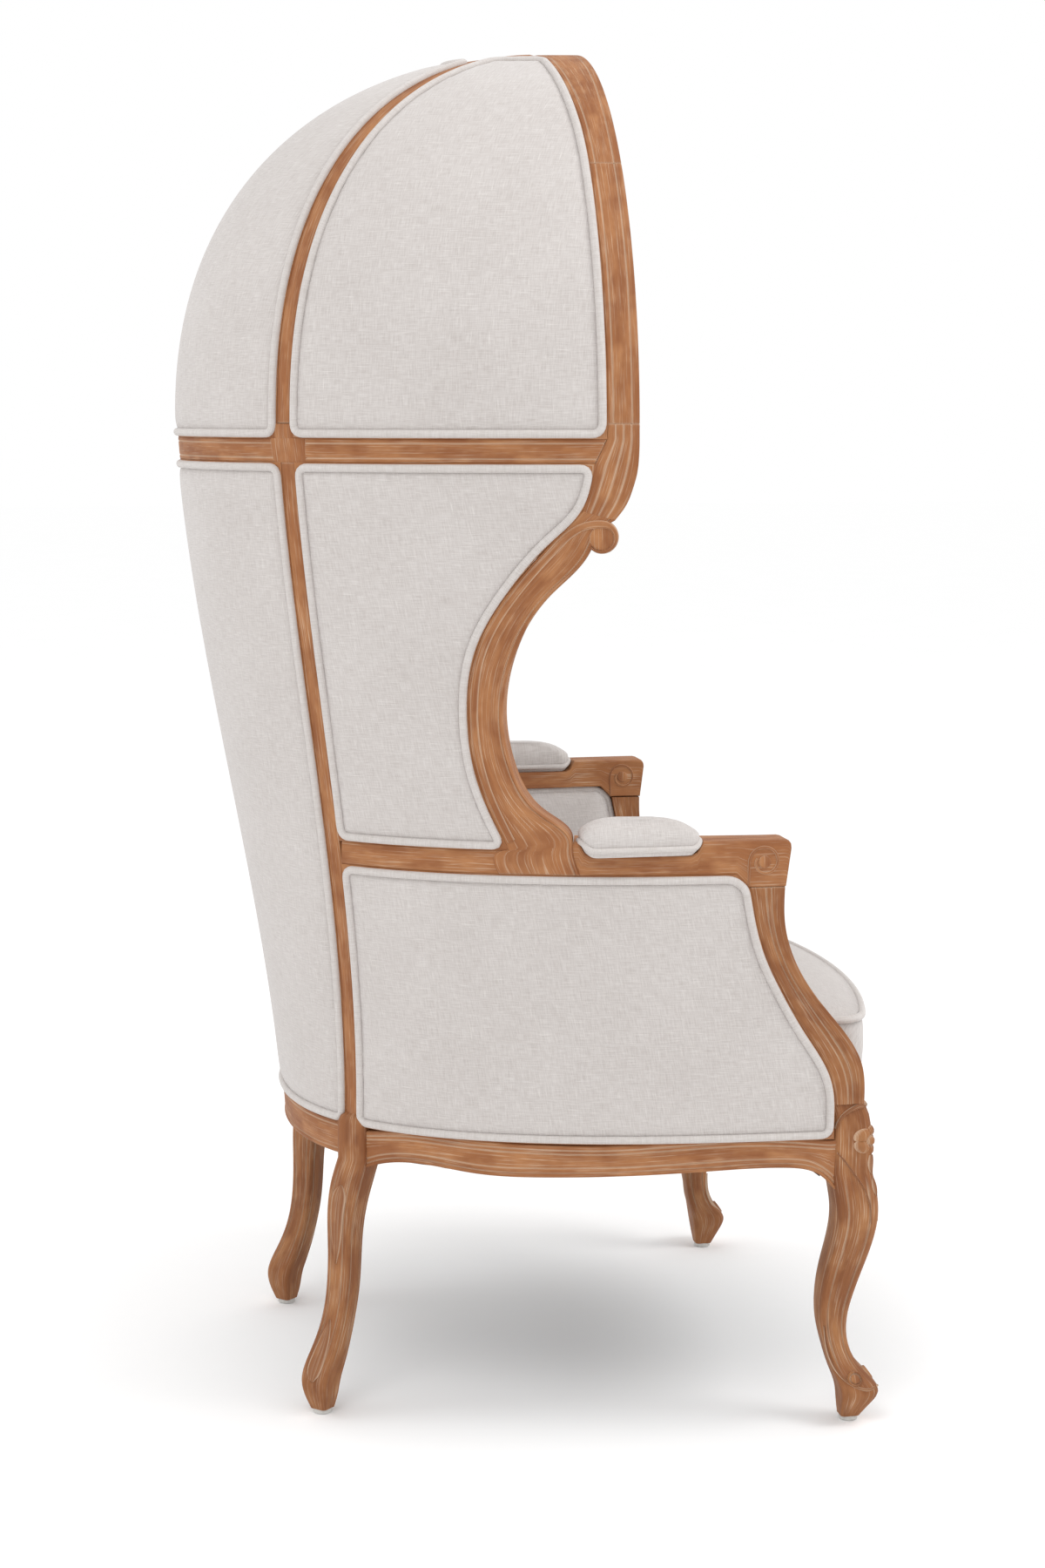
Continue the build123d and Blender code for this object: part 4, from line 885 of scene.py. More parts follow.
def ribbon(top, low, n, thick, from_a, from_b):
    """A member with a flat-sided section along lines in space."""
    width = np.linalg.norm(low - top, axis=1)[:, None]
    down = (low - top) / width
    rows = [top + down * x + n * h for x, h, _ in from_a] + [top + down * width * 0.5]
    rows += [top + down * (width - x) + n * h for x, h, _ in from_b[::-1]]
    inside = [low - down * 1.5 - n * (thick - 1), low - down * 3 - n * thick,
              top + down * 3 - n * thick, top + down * 1.5 - n * (thick - 1)]
    lime = [mark for _, _, mark in from_a + [(0, 0, 0)] + from_b[::-1]]
    return close_member(np.stack(rows, 1), np.stack(inside, 1), lime, run_along(top))


# Arch
ARCH_RADIUS = 470.0


def dome_top(y):
    return SPRINGING + HOOD_RISE * dome_share((y - ARCH_FRONT) / HOOD_DEPTH, BACK_POWER)


def over_arch(y, turn):
    """A point of the dome by its Y and its turn over the arch, from 0 on the right to pi on the left."""
    tf = place(y, SPRINGING + (dome_top(y) - SPRINGING) * np.sin(turn))
    p = wall(tf[..., 0], tf[..., 1])
    p[..., 0] = np.where(turn > pi / 2, -p[..., 0], p[..., 0])
    p[..., 1] = y
    return p


def arch_member(start, stop, rows):
    """A piece of the arch between two turns over it, with a joint at each end."""
    front = EDGE + grooves(9.0)
    back = [(-x, h, m) for x, h, m in (EDGE + grooves(6.5))[::-1]]
    near = np.array([0.001, 0.003, 0.006])
    share = np.unique(np.concatenate([np.linspace(0, 1, rows), near, 1 - near]))
    back_edge = arch_line(SPRINGING + HOOD_RISE * np.sin(start + share * (stop - start)))
    ys = np.stack([ARCH_FRONT + x + 0 * share for x, _, _ in front] + [back_edge + x for x, _, _ in back], 1)
    _, heights, lime = np.array(front + back, float).T

    def turn_at(end):
        base = np.arcsin(np.clip(HOOD_RISE * sin(end) / (dome_top(ys) - SPRINGING), -1, 1))
        return pi - base if end > pi / 2 else base
    turn = turn_at(start) + share[:, None] * (turn_at(stop) - turn_at(start))
    p, e = over_arch(ys, turn), 1e-3
    up = over_arch(ys, turn + e) - over_arch(ys, turn - e)
    n = unit(np.cross(up, over_arch(ys + 0.2, turn) - over_arch(ys - 0.2, turn)))
    length = ARCH_RADIUS * abs(stop - start)
    run = share * length
    drop = joint_drop(run, length, (True, True))
    pick, depths = [-4, -5, 4, 3], np.array([WOOD - 2, WOOD, WOOD, WOOD - 2])
    inside = p[:, pick] - n[:, pick] * depths[:, None]
    return close_member(p + n * (heights + drop)[..., None], inside, lime + np.clip(-drop * JOINT_LIME, 0, 1), run)


joint_turn, crown_turn = (float(np.arcsin((z - SPRINGING) / HOOD_RISE)) for z in (HOOD_JOINT, CROWN_JOINT))
wood_pair(arch_member(joint_turn, crown_turn, 40), "arch_post")
wood(arch_member(crown_turn, pi - crown_turn, 70), "arch_crown")

# Ribs, and the wood over the top of the dome that they run into
rib_low = float(angle(HOOD_JOINT))
rib_z = level(np.linspace(rib_low - 0.02, 1.53, 500))
rib_middle = place(stile_place(rib_z), rib_z)


def rib_edge(away):
    """A rib's edge from its joint up to the back of the arch or the middle of the chair."""
    edge = offset(rib_middle, away)
    points = surf(edge)
    past = points[:, 1] < arch_line(points[:, 2]) + 0.3
    edge = edge[:int(np.argmax(past)) if past.any() else len(edge)]
    return edge[(edge[:, 1] >= rib_low) & (edge[:, 0] < 1.0)]


rib = member(rib_edge(STILE), rib_edge(-STILE), middle=[(0.5, 1.0, 0)], rows=80)
web_f = np.linspace(float(angle(GORE_TOP)) - 0.004, 1.50, 14)
web_z = level(web_f)
web_t, arch_t = place(stile_place(web_z), web_z)[:, 0], place(arch_line(web_z) - 3.0, web_z)[:, 0]
for to_t, sunk, under_arch in ((1 + 0 * web_t, 0.4, 1.5), (np.minimum(arch_t, web_t - 1e-4), 0.5, 0)):
    web_tf = between(np.stack([web_t, web_f], 1), np.stack([to_t, web_f], 1), np.linspace(0, 1, 15))
    web_p = surf(web_tf)
    in_arch = web_p[..., 1] < arch_line(web_p[..., 2]) + 0.5
    rib.shell(surf(web_tf, -sunk - under_arch * in_arch), surf(web_tf, -WOOD), web_p[..., [1, 0]])
wood_pair(rib, "hood_rib")


# Blocks where the ribs cross the hood's rails
def block_edge(beside_rails, beside_rib):
    corners = [place(stile_at(z) + away, z) for z, away in (
        (HOOD_RAIL_LOW, beside_rails), (HOOD_RAIL_TOP, beside_rails),
        (HOOD_RAIL_TOP + 0.2, beside_rib), (HOOD_JOINT, beside_rib))]
    return np.vstack([between_points(*corners[:2], 14), between_points(*corners[2:], 8)])


block_a, block_b = block_edge(-BLOCK_FORE, -STILE), block_edge(BLOCK_AFT, STILE)
block_shares = np.array([0, .02, .06, .12, .5, .88, .94, .98, 1.0, 1.0])
block_proud = np.tile([-1.6, -.4, -.05, 0.4, 0.6, .4, -.05, -.4, -1.6, -3], (len(block_a), 1))
block_proud[[0, -1]] -= JOINT_DEPTH
block_outside = surf(between(block_a, block_b, block_shares), block_proud)
wood_pair(Build().loft(np.concatenate([block_outside, inner_face(block_a, block_b, WOOD)], 1)), "rib_block")

# Rails under the hood. The rear one starts a little way under the blocks.
UNDER_BLOCK = 0.85
rail_profile = EDGE + grooves(5.5)
rail_rear = stile_at(HOOD_RAIL_TOP) - BLOCK_FORE
hood_rail_edges = level_line(HOOD_RAIL_TOP, ARCH_BACK, rail_rear), level_line(HOOD_RAIL_LOW, TOP_CORNER[0], rail_rear)
wood_pair(member(*hood_rail_edges, rail_profile, rail_profile), "hood_rail")
rear_rail_edges = (round_back(*place(stile_at(z) + BLOCK_AFT - UNDER_BLOCK, z))
                   for z in (HOOD_RAIL_TOP, HOOD_RAIL_LOW))
wood(member(*rear_rail_edges, rail_profile, rail_profile), "hood_rail_rear")

# Stiles
stile_edges = (stile_side(RAIL_TOP, HOOD_RAIL_LOW, away) for away in (STILE, -STILE))
wood_pair(member(*stile_edges, middle=[(0.5, 0.9, 0)], rows=90), "rear_stile")

# Shoulders, and the C-shaped wing frames with their volutes
volute = (ARCH_FRONT + 41.8, ARM_TOP + 336)
shoulder_a = np.vstack([side_view([(ARCH_FRONT, HOOD_JOINT), SHOULDER_FRONT[0]], 8)[:-1],
                        side_view(SHOULDER_FRONT, 50)])
shoulder_b = np.vstack([side_view([(ARCH_BACK, HOOD_JOINT), (ARCH_BACK, HOOD_RAIL_TOP), TOP_CORNER], 30, False)[:-1],
                        side_view([TOP_CORNER, WING_BACK[1]], 20)])
wood_pair(member(shoulder_a, shoulder_b, middle=lines(0.26, 0.5, 0.74, wide=0.05), ends=(True, False)), "hood_shoulder")
wing_a = side_view([SHOULDER_FRONT[-1], (volute[0] + 2, volute[1] + 6), *WING_FRONT,
                    (WING_END, WING_SILL + 1), (-4, 667), (-9, 654)], 120)
wing_b = np.vstack([side_view(WING_BACK[1:-1] + [WING_FOOT], 110)[:-1],
                    side_view([WING_FOOT, (76, 680.4), (82, 678), (84, 671), (82, 662), (78, 654)], 24)])
wing = member(wing_a, wing_b, BEAD, EDGE, rows=110, ends=(False, True),
              rise=lambda z: 1.3 * np.clip((696 - z) / 14, 0, 1))
band = surf(offset(wing_b, 7.5))[:, 1:]
band = resample(band[(band[:, 1] < 1012) & (band[:, 1] > 690)][::-1], 12)
narrowing = np.linspace(9, 2, 10)
curl = swirl(volute, 18 - narrowing / 2, np.radians(np.linspace(88, 318, 10)))
wall_boss(wing, volute[0] - 0.8, volute[1] - 1.6, 14.5, 1.9, DISC)
wall_boss(wing, *volute, 17.0, 2.6, inner=WOOD)
trail(wing, np.vstack([band, [(-3, volute[1] + 7.5), (-16, volute[1] + 12.5)], curl]),
      [8.5] * 14 + list(narrowing), [1.5] * 12 + [2.2, 3.0] + [3.9] * 10, 260)
wood_pair(wing, "wing_frame")


# Arms
def arm_edges():
    """Upper and lower edge of an arm rail in the side view, with the scoop that the pad sits in."""
    block_rear, pad_rear, step = ARM_FRONT + 48.5, WING_END - 6, ARM_UNDER - ARM_JOINT
    pad_front = pad_rear - 137
    y = np.concatenate([
        np.linspace(-229, block_rear, 7), np.linspace(block_rear + 2.5, ARM_CORNER[0], 5),
        np.linspace(ARM_CORNER[0] + 6, pad_front - 0.2, 5), np.linspace(pad_front + 0.2, pad_rear - 0.2, 22),
        [pad_rear + 0.2, pad_rear + 3, WING_END], np.linspace(WING_END + 0.4, stile_at(WING_SILL) - STILE, 40)])
    into_pad = np.minimum(y - pad_front, pad_rear - y)
    scooped = ARM_TOP - 15 + 15 * np.clip(1 - into_pad / 13.0, 0, 1) ** 2
    top = np.column_stack([y, np.where(y > WING_END, WING_SILL, scooped)])
    low = np.column_stack([y, ARM_JOINT + np.clip(y - block_rear, 0, step)])
    front_top = [(-243.8, 683), (-243.4, 687), (-241.2, 690), (-237, ARM_TOP)]
    front_low = [(y_front, ARM_JOINT) for y_front in (-238, -237.6, -236.8, -235)]
    return np.vstack([front_top, top]), np.vstack([front_low, low])


arm = plain_member(*arm_edges(), EDGE, EDGE, ARM_WOOD)
scroll, scroll_radius = (ARM_FRONT + 32, ARM_TOP - 24), 17.5
turns = np.linspace(0, 2.15 * pi, 22)
scroll_line = [(scroll[0] + scroll_radius, ARM_JOINT + up) for up in (2, 14)]
scroll_line += list(swirl(scroll, scroll_radius - 8.5 * (turns / turns[-1]) ** 1.6, turns))
for inner in (0.0, ARM_WOOD):
    wall_boss(arm, *scroll, 7.0, 1.6, DISC, inner)
    trail(arm, scroll_line, 2.6, 1.1, 220, inner)
wood_pair(arm, "arm_rail")
wood_pair(member(side_view(SUPPORT_FRONT, 90), side_view(SUPPORT_BACK, 90), middle=lines(0.40, 0.56, wide=0.035),
                 thick=ARM_WOOD, rows=80, ends=(True, False)), "arm_support")

# Seat rails
RAIL_UNDER = ((214.5, 290), (205, 296), (190.5, 302), (99.5, 301), (27.5, 299.7), (-76.5, 302.6),
              (-162.5, 306.4), (-251.5, 307.5), (-284, 301), (-300, 289), (-310, 276))
RAIL_OVER = ((214.5, 335), (176.5, 342), (112.5, 341), (26.5, 338),
             (-61.5, 338.5), (-151.5, 344), (-243.5, 344), (-300, 338))


def rail_edge(table):
    y = np.linspace(-312, 226, 110)
    curve = smooth(table[::-1], 400)
    return np.stack([y, np.interp(y, curve[:, 0], curve[:, 1])], 1)


side_profiles = EDGE + grooves(5.5, 10), BEAD + grooves(11)
wood_pair(plain_member(rail_edge(RAIL_OVER), rail_edge(RAIL_UNDER), *side_profiles, WOOD), "seat_rail")
rear_foot = place(238.0, 320.0)[0]
rear_rail_edges = (round_back(rear_foot, angle(z)) for z in (RAIL_TOP, RAIL_LOW + 1))
wood(member(*rear_rail_edges, rail_profile, BEAD), "seat_rail_rear")

# The front rail bows forwards between the legs, and its lower edge rises beside its middle
LEG_X, LEG_Y, LEG_WIDE = SEAT_HALF - 20, CHEEK_FRONT + 17.5, 48.0
rail_end, rail_face, rail_bow = LEG_X - LEG_WIDE / 2, LEG_Y - LEG_WIDE / 2 + 6, 58.0
rail_radius = (rail_end**2 + rail_bow**2) / (2 * rail_bow)
rail_centre = rail_face - rail_bow + rail_radius


def rail_lift(x):
    return 10 * np.sin(pi * np.abs(x) / rail_end) ** 2


turn = np.linspace(-1, 1, 90) * float(np.arcsin((rail_end + 5) / rail_radius))
outward = np.stack([np.sin(turn), -np.cos(turn), 0 * turn], 1)
rail_line = [0, rail_centre, 0] + rail_radius * outward
rail_foot = rail_line + (RAIL_LOW + rail_lift(rail_line[:, :1])) * UP
front_rail = ribbon(rail_line + DECK * UP, rail_foot, outward, FRONT_RAIL_WOOD, *side_profiles)
boss(front_rail, rail_line[45] + [0, 0.5, 344.0], FORE, UP, 21, 5, FLOWER, petals=8)
wood(front_rail, "seat_rail_front")

# Legs: share of the height, share of the sweep, and share of the width
FRONT_TABLE = ((0, .20, .46), (.055, .40, .71), (.117, .55, .92), (.185, .05, .75), (.266, -.45, .60),
               (.371, -.675, .667), (.476, -.575, .80), (.592, -.275, .917), (.711, .10, .98),
               (.847, .30, 1.02), (.949, .125, 1.03), (1, 0, 1))
REAR_TABLE = ((0, .93, .55), (.055, .955, .78), (.117, .955, .92), (.164, .89, .95), (.246, .72, .88),
              (.35, .54, .79), (.483, .41, .78), (.65, .36, .81), (.80, .30, .92), (.90, .18, 1), (1, 0, 1))
LEG_LOW = 6.0
CORNER_GROOVE = [(1.2, -.1, .4), (2.0, -1, 1), (2.8, -.1, .4), (4.2, .25, 0)]


def square_section(width, groove):
    """A rounded square with a groove near each corner: points round it, and their lime."""
    half, r = width / 2, 0.2 * width
    unit_reach = 2 * (half - r) / 34
    local = [(half - r + r * cos(a), -half + r - r * sin(a), 0) for a in np.linspace(pi / 2, 0, 6)[:-1]]
    local += [(half + depth * groove, -half + r + away * unit_reach, lime * groove)
              for away, depth, lime in [(0, 0, 0)] + CORNER_GROOVE]
    local.append((half + 0.5 * groove, 0, 0))
    local += [(half + depth * groove, half - r - away * unit_reach, lime * groove)
              for away, depth, lime in CORNER_GROOVE[::-1]]
    x, y, lime = np.array(local).T
    quarters = [(cos(k * pi / 2), sin(k * pi / 2)) for k in range(4)]
    return np.vstack([np.stack([c * x - s * y, s * x + c * y], 1) for c, s in quarters]), np.tile(lime, 4)


class Leg:
    """A cabriole leg that sweeps from its middle along a way in plan."""

    def __init__(self, table, wide, middle, way):
        curve = smooth([(300 * h, 30 * s, 30 * w) for h, s, w in table], 400)
        self.curve, self.wide, self.middle, self.way = curve.T / [[300], [30], [30]], wide, middle, way

    def section(self, height):
        """Middle and width of the section at a share of the height."""
        sweep, share = (np.interp(height, self.curve[0], self.curve[k]) for k in (1, 2))
        return self.middle + np.multiply(self.way, sweep), self.wide * share

    def on(self, z, n, lift=0.0, reach=1.0):
        """A point on the leg's face towards n."""
        middle, width = self.section((z - LEG_LOW) / (RAIL_LOW - LEG_LOW))
        return np.array([*middle, z]) + n * (width / 2 * reach + lift)

    def carve(self, turn, top):
        """The leg's solid. Its top lists height, share of the width and set-back."""
        spin = np.array([[cos(turn), sin(turn)], [-sin(turn), cos(turn)]])
        rows = []
        for h in np.linspace(0, 1, 90):
            fade = min(1, max(0, (h - 0.17) / 0.05)) * min(1, max(0, (0.985 - h) / 0.05))
            rows.append((LEG_LOW + h * (RAIL_LOW - LEG_LOW), *self.section(h), fade))
        rows += [(z, self.middle + np.array([0, back]), self.wide * share, 0) for z, share, back in top]
        sections, marks = [], []
        for z, middle, width, groove in rows:
            ring, lime = square_section(width, groove)
            sections.append(np.column_stack([ring @ spin + middle, np.full(len(ring), z)]))
            marks.append(lime)
        return Build().loft(sections, np.array(marks))


FRONT_LEG = Leg(FRONT_TABLE, LEG_WIDE, (-LEG_X, LEG_Y), (-20, -20))
REAR_LEG = Leg(REAR_TABLE, 40.0, (-183.0, BACK_AT_SEAT - 65), (-.43 * 52, 52))


def knee(build):
    """A flower on the corner of the knee, under the curled lip of a shell, and a scroll and collar on the foot."""
    diagonal = unit(OUT + FORE)
    boss(build, FRONT_LEG.on(336, diagonal, -1.2, 1.19), diagonal, UP, 18, 4.6, FLOWER, petals=5, bend=9)
    for levels, widths in (((319, 311, 303, 296), (3, 5, 4, .5)), ((293, 286, 278, 272), (1, 4, 3.6, .5))):
        leaf(build, [FRONT_LEG.on(z, diagonal, -0.8, 1.22) for z in levels], widths, diagonal, 3.0)
    for n, along, sunk, lip_end in ((OUT, FORE, (0, 0, .7, 1.5), 12.5), (FORE, OUT, (0, 1.9, 5.2, 8.2), 15)):
        base = np.array([-LEG_X, LEG_Y, 0]) + n * (LEG_WIDE * .455)
        lip = [(-22, 352), (-17, 363), (-9, 370.5), (0, 375), (9, 377.5), (lip_end, 376.5)]
        leaf(build, [base + along * a + UP * z - n * np.interp(z, (352, 366, 374, 380), sunk) for a, z in lip],
             [.8, 1.5, 2.2, 2.8, 3.2, 2.2], n, 2.2)
        sweep = [(324, -20), (314, -11), (300, -1), (282, 8), (262, 12), (240, 14)]
        leaf(build, [FRONT_LEG.on(z, n, .1) + along * a for z, a in sweep], [.6, 1.0, 1.2, 1.1, .9, .4], n, 1.2)
        tilt, rise = unit(n * .82 + UP * .57), unit(UP * .82 - n * .57)
        boss(build, FRONT_LEG.on(54, n, -0.4), tilt, rise, 9.5, 3.0)
        collar = [(112, -12.5), (86, -13), (64, -14), (51, -10), (45, 0), (43.5, 11), (46, 18)]
        leaf(build, [FRONT_LEG.on(z, n, -0.4) + along * a for z, a in collar],
             [.4, 1.1, 1.3, 1.5, 1.6, 1.6, 1.2], tilt, 1.8)


front_leg = FRONT_LEG.carve(0, [(325, .98, 0), (340, .95, 0), (355, .935, .5),
                                (366, .91, 2), (374, .88, 4.5), (379.8, .84, 7)])
knee(front_leg)
wood_pair(front_leg, "front_leg")
rear_leg = REAR_LEG.carve(pi / 4, [(335, 1, 0), (344, .97, 0), (350, .86, 0), (354, .6, 0), (355, .3, 0)])
rear_corner = unit(OUT - FORE)
for levels, widths in (((271, 263, 244, 218, 192, 178), (2, 8, 9.5, 8, 4, .5)),
                       ((112, 98, 82, 66, 52, 43), (.5, 5, 8, 9.5, 8.5, 3))):
    leaf(rear_leg, [REAR_LEG.on(z, rear_corner, 0.2) for z in levels], widths, rear_corner, 1.9)
wood_pair(rear_leg, "rear_leg")

# Outside covers, their piping inside and out, and the rebates that they sit in
cords, edges = Build(), Build()
for node, hole, behind in (("hood_side_cover", gore_hole, 0.5), ("wing_cover", wing_hole, 2.5),
                           ("arm_cover", arm_hole, 2.5)):
    panel(hole, 80).make_pair(f"linen_{node}", LINEN, "linen", node, fill=0.9)
    piping(cords, hole)
    piping(cords, hole, by=3.5, proud=-WOOD - behind)
    rebate(edges, hole)
cords.make_pair("cord", PIPING, "piping", "piping")
edges.make_pair("rebate", WOOD_FINISH, "show_wood")
back_cords, back_edges = Build(), Build()
for node, hole in (("back_cover", back_hole), ("hood_back_cover", hood_back_hole)):
    panel(hole, 100).make(f"linen_{node}", LINEN, "linen", (node,), fill=0.9)
    piping(back_cords, hole)
    rebate(back_edges, hole)
back_cords.make("cord_back", PIPING, "piping", ("piping_back",))
back_edges.make("rebate_back", WOOD_FINISH, "show_wood")

# Inside upholstery
SIDE_PAD, BACK_PAD, LINING_BACK, LINING_FRONT = 50.0, 74.0, WOOD + 0.4, -36.0
for node, hole, depths in (("inside_wing", wing_hole, (40, 64)), ("inside_arm", arm_hole, (SIDE_PAD, BACK_PAD))):
    pads(hole, 60, 10, *depths).make_pair(f"linen_{node}", LINEN, "linen", node, fill=0.8)
inside_rear = stile_side(392.0, HOOD_RAIL_LOW - 1, -9)
inside_hole = opening(left_of(inside_rear), inside_rear, 60)
inside_back = pads(inside_hole, 90, LINING_BACK, SIDE_PAD, BACK_PAD, edge_depth=WOOD + 9, soft=22)
inside_back.make("linen_inside_back", LINEN, "linen", ("inside_back",), fill=0.8)


def hood_cloth(side, back):
    """One face of the lining, as (t, f) and as points, from its front edge on the right to that on the left."""
    rows = 60
    top = np.arcsin(dome_share((LINING_FRONT - ARCH_FRONT) / (HOOD_DEPTH - back), BACK_POWER))
    f = np.linspace(float(angle(HOOD_RAIL_LOW + 1, side, back)), float(top), rows)
    edge = place(np.full(rows, LINING_FRONT), level(f, side, back), side, back)[:, 0]
    edge[-1] = 1.0
    tf = between(np.stack([edge, f], 1), np.stack([2 - edge, f], 1), np.linspace(0, 1, 110))
    return tf, wall(tf[..., 0], tf[..., 1], side, back)


(lining_tf, lining_face), (_, lining_back) = hood_cloth(SIDE_PAD, BACK_PAD), hood_cloth(LINING_BACK, LINING_BACK)
lining = Build().shell(lining_face, lining_back, cloth_uv(lining_tf))
rim = lining_face[:, 0]
rim = np.vstack([rim, rim[-2::-1] * [-1, 1, 1]]) + FORE
lining.tube(resample(rim, 160), PIPE, FORE, closed=False)
lining.make("linen_hood_lining", LINEN, "linen", ("hood_lining",), fill=0.7)


# Seat
SEAT_IN_SIDE, SEAT_IN_BACK, SEAT_BOW = 51.0, 75.0, 61


def seat_plan(z, drawn=0.0, bulge=0.0):
    """The seat pad's outline at a height, drawn in all round and bulging at the front."""
    half, cheek, rear, full = (float(v) for v in plan(z, SEAT_IN_SIDE, SEAT_IN_BACK))
    half, cheek, rear = half - drawn, cheek + drawn, rear - drawn
    front = CHEEK_FRONT - 2 + drawn - bulge
    bow = front - SEAT_BOW * half / SEAT_HALF
    v = np.linspace(0, 1, 80)[:, None]
    curve = (1 - v) ** 3 * [0, rear] + 3 * v * (1 - v) ** 2 * [-full * half, rear]
    curve += 3 * v * v * (1 - v) * [-half, cheek + full * (rear - cheek)] + v**3 * [-half, cheek]
    radius = (half**2 + (front - bow) ** 2) / (2 * (front - bow))
    a = np.linspace(np.arcsin(min(half / radius, 1)), 0, 40)
    arc = np.stack([-radius * np.sin(a), bow + radius - radius * np.cos(a)], 1)
    corner, r = arc[0], min(26.0, 0.8 * max(cheek - front, 4.0) + drawn * .2)
    start, keep = np.array([-half, corner[1] + r]), arc[np.linalg.norm(arc - corner, axis=1) > r]
    right = np.vstack([curve[curve[:, 1] > start[1] + 1], start, turn_corner(start, corner, keep[0], 10), keep])
    right = resample(right, 101)
    right[:, 0] -= 3.0 * np.clip((-272 - right[:, 1]) / 28, 0, 1) * np.clip(-right[:, 0] / 250, 0, 1)
    whole = np.vstack([right, right[-2:0:-1] * [-1, 1]])
    return np.column_stack([whole, np.full(len(whole), z)])


def folded_uv(points):
    """Coordinates of cloth that goes up and over an edge."""
    return np.stack([points[..., 0], points[..., 1] + points[..., 2]], -1)


side_levels = [(389.2, 1.0, 0), (392, 0, .4), (410, 0, 2.6), (430, 0, 3.6), (450, 0, 2.6), (462, 0, .6),
               (465.5, 2.5, 0), (469, 5, 0), (472, 3.0, 0)]
top_levels = [(470.5 + 26 * (1 - (1 - s) ** 2.1), 3.0 + 217 * s**1.35, 0) for s in np.linspace(0.02, 1, 16)]
seat_rings = np.array([seat_plan(*row) for row in side_levels + top_levels])
inward = np.clip(np.arange(len(seat_rings)) - len(side_levels), 0, None)[:, None]
seam = seat_rings[6]
round_seat = np.cumsum(np.linalg.norm(np.diff(seam, axis=0, prepend=seam[-1:]), axis=1))[None]
x, y = seat_rings[..., 0], seat_rings[..., 1]
sag = 2.2 * np.exp(-((x / 150) ** 2 + ((y + 90) / 120) ** 2))
sag += 0.8 * np.exp(-(((x + 120) / 70) ** 2 + ((y - 20) / 60) ** 2))
pucker = 0.45 * np.sin(round_seat / 5.2 + 1.3 * np.sin(round_seat / 37)) * np.exp(-inward / 1.6)
seat_rings[..., 2] += np.where(inward > 0, pucker - sag, 0)
seat = Build().loft(seat_rings, uv=folded_uv(seat_rings))
tacked = seat_rings[1][:, 1] < CHEEK_FRONT + 40
skirt, skirt_back = (np.array([seat_plan(z, drawn)[tacked] for z in (380.4, 384, 388, 393)]) for drawn in (-0.3, 1.9))
seat.shell(skirt, skirt_back, folded_uv(skirt))
seat.make("linen_seat_pad", LINEN, "linen", ("seat_pad",), smooth_angle=60, fill=0.75)
edge_line = seat_plan(469)
edge_line = edge_line[np.argsort(np.arctan2(edge_line[:, 0], -(edge_line[:, 1] + 200)))]
edge_line = edge_line[edge_line[:, 1] < CHEEK_FRONT + 120]
seat_cord = Build().tube(resample(edge_line, 240), PIPE, UP, closed=False)
seat_cord.make("cord_seat", PIPING, "piping", ("seat_piping",))

# Arm pads
PAD_WIDE, PAD_LONG, PAD_HALF, PAD_HIGH, PAD_BASE = 48, 133, 66, 41, ARM_TOP - 15
pad_x, pad_y = -(ARM_HALF - ARM_WOOD / 2), WING_END - 8 - PAD_LONG / 2


def soft_rectangle(wide, long, radius):
    radius = min(radius, wide * .49, long * .49)
    quarter = swirl((wide / 2 - radius, long / 2 - radius), radius, np.linspace(0, pi / 2, 12))
    loop = np.vstack([quarter, quarter[::-1] * [-1, 1], -quarter, quarter[::-1] * [1, -1]])
    return resample(np.vstack([loop, loop[:1]]), 121)[:-1]


def lifted(y, lift):
    """The pad's base turns up at its ends, following the scoop in the arm."""
    return lift * np.clip((np.abs(y) - PAD_HALF + 12) / 12, 0, 1) ** 2.2


pad_rings = []
for up, loss in ((0.3, 5), (3, 1.5), (6.5, .3), (8.5, 3.2), (10.2, 1.2), (14, .2), (20, .4), (26, 2.5),
                 (31, 6.5), (35, 12), (38, 19), (40, 28), (40.9, 38)):
    loop = soft_rectangle(PAD_WIDE - min(loss, 20) * 2 * .62 - .6, PAD_LONG - loss * 2 - .6, 12 + loss * .3)
    share = up / PAD_HIGH
    z = PAD_BASE + up + lifted(loop[:, 1], 9.5 * (1 - share)) + 1.5 * share * loop[:, 1] / PAD_HALF
    pad_rings.append(np.column_stack([loop + [pad_x, pad_y + 5.0 * share**2], z]))
pad_rings = np.array(pad_rings)
pad_uv = np.stack([pad_rings[..., 0] + pad_rings[..., 2], pad_rings[..., 1]], -1)
Build().loft(pad_rings, uv=pad_uv).make_pair("linen_arm_pad", LINEN, "linen", "arm_pad", smooth_angle=60, fill=0.8)
loop = soft_rectangle(PAD_WIDE - 1, PAD_LONG - 1, 13)
pad_line = np.column_stack([loop + [pad_x, pad_y + .3], 684.2 + lifted(loop[:, 1], 7.5)])
Build().tube(pad_line, 3.4, UP).both().make("cord_arm_pads", PIPING, "piping", ("arm_pad_piping",))


# Hidden cloths
def cloth_grid(outline, columns):
    """Rows across an outline that is symmetric about X = 0, and the half width of each."""
    y = np.linspace(outline[:, 1].min() + 1, outline[:, 1].max() - 1, 50)
    right = outline[outline[:, 0] <= 0]
    right = right[np.argsort(right[:, 1])]
    half = -np.interp(y, right[:, 1], right[:, 0])[:, None]
    x = half * np.linspace(-1, 1, columns)
    return x, np.broadcast_to(y[:, None], x.shape), half


def cloth(x, y, z, thick, name, material, slot, node, rests):
    """A stretched sheet on a grid of points."""
    top = np.stack(np.broadcast_arrays(x, y, z + thick), -1)
    piece = Build().shell(top, top - thick * UP, top[..., :2]).make(name, material, slot, (node,))


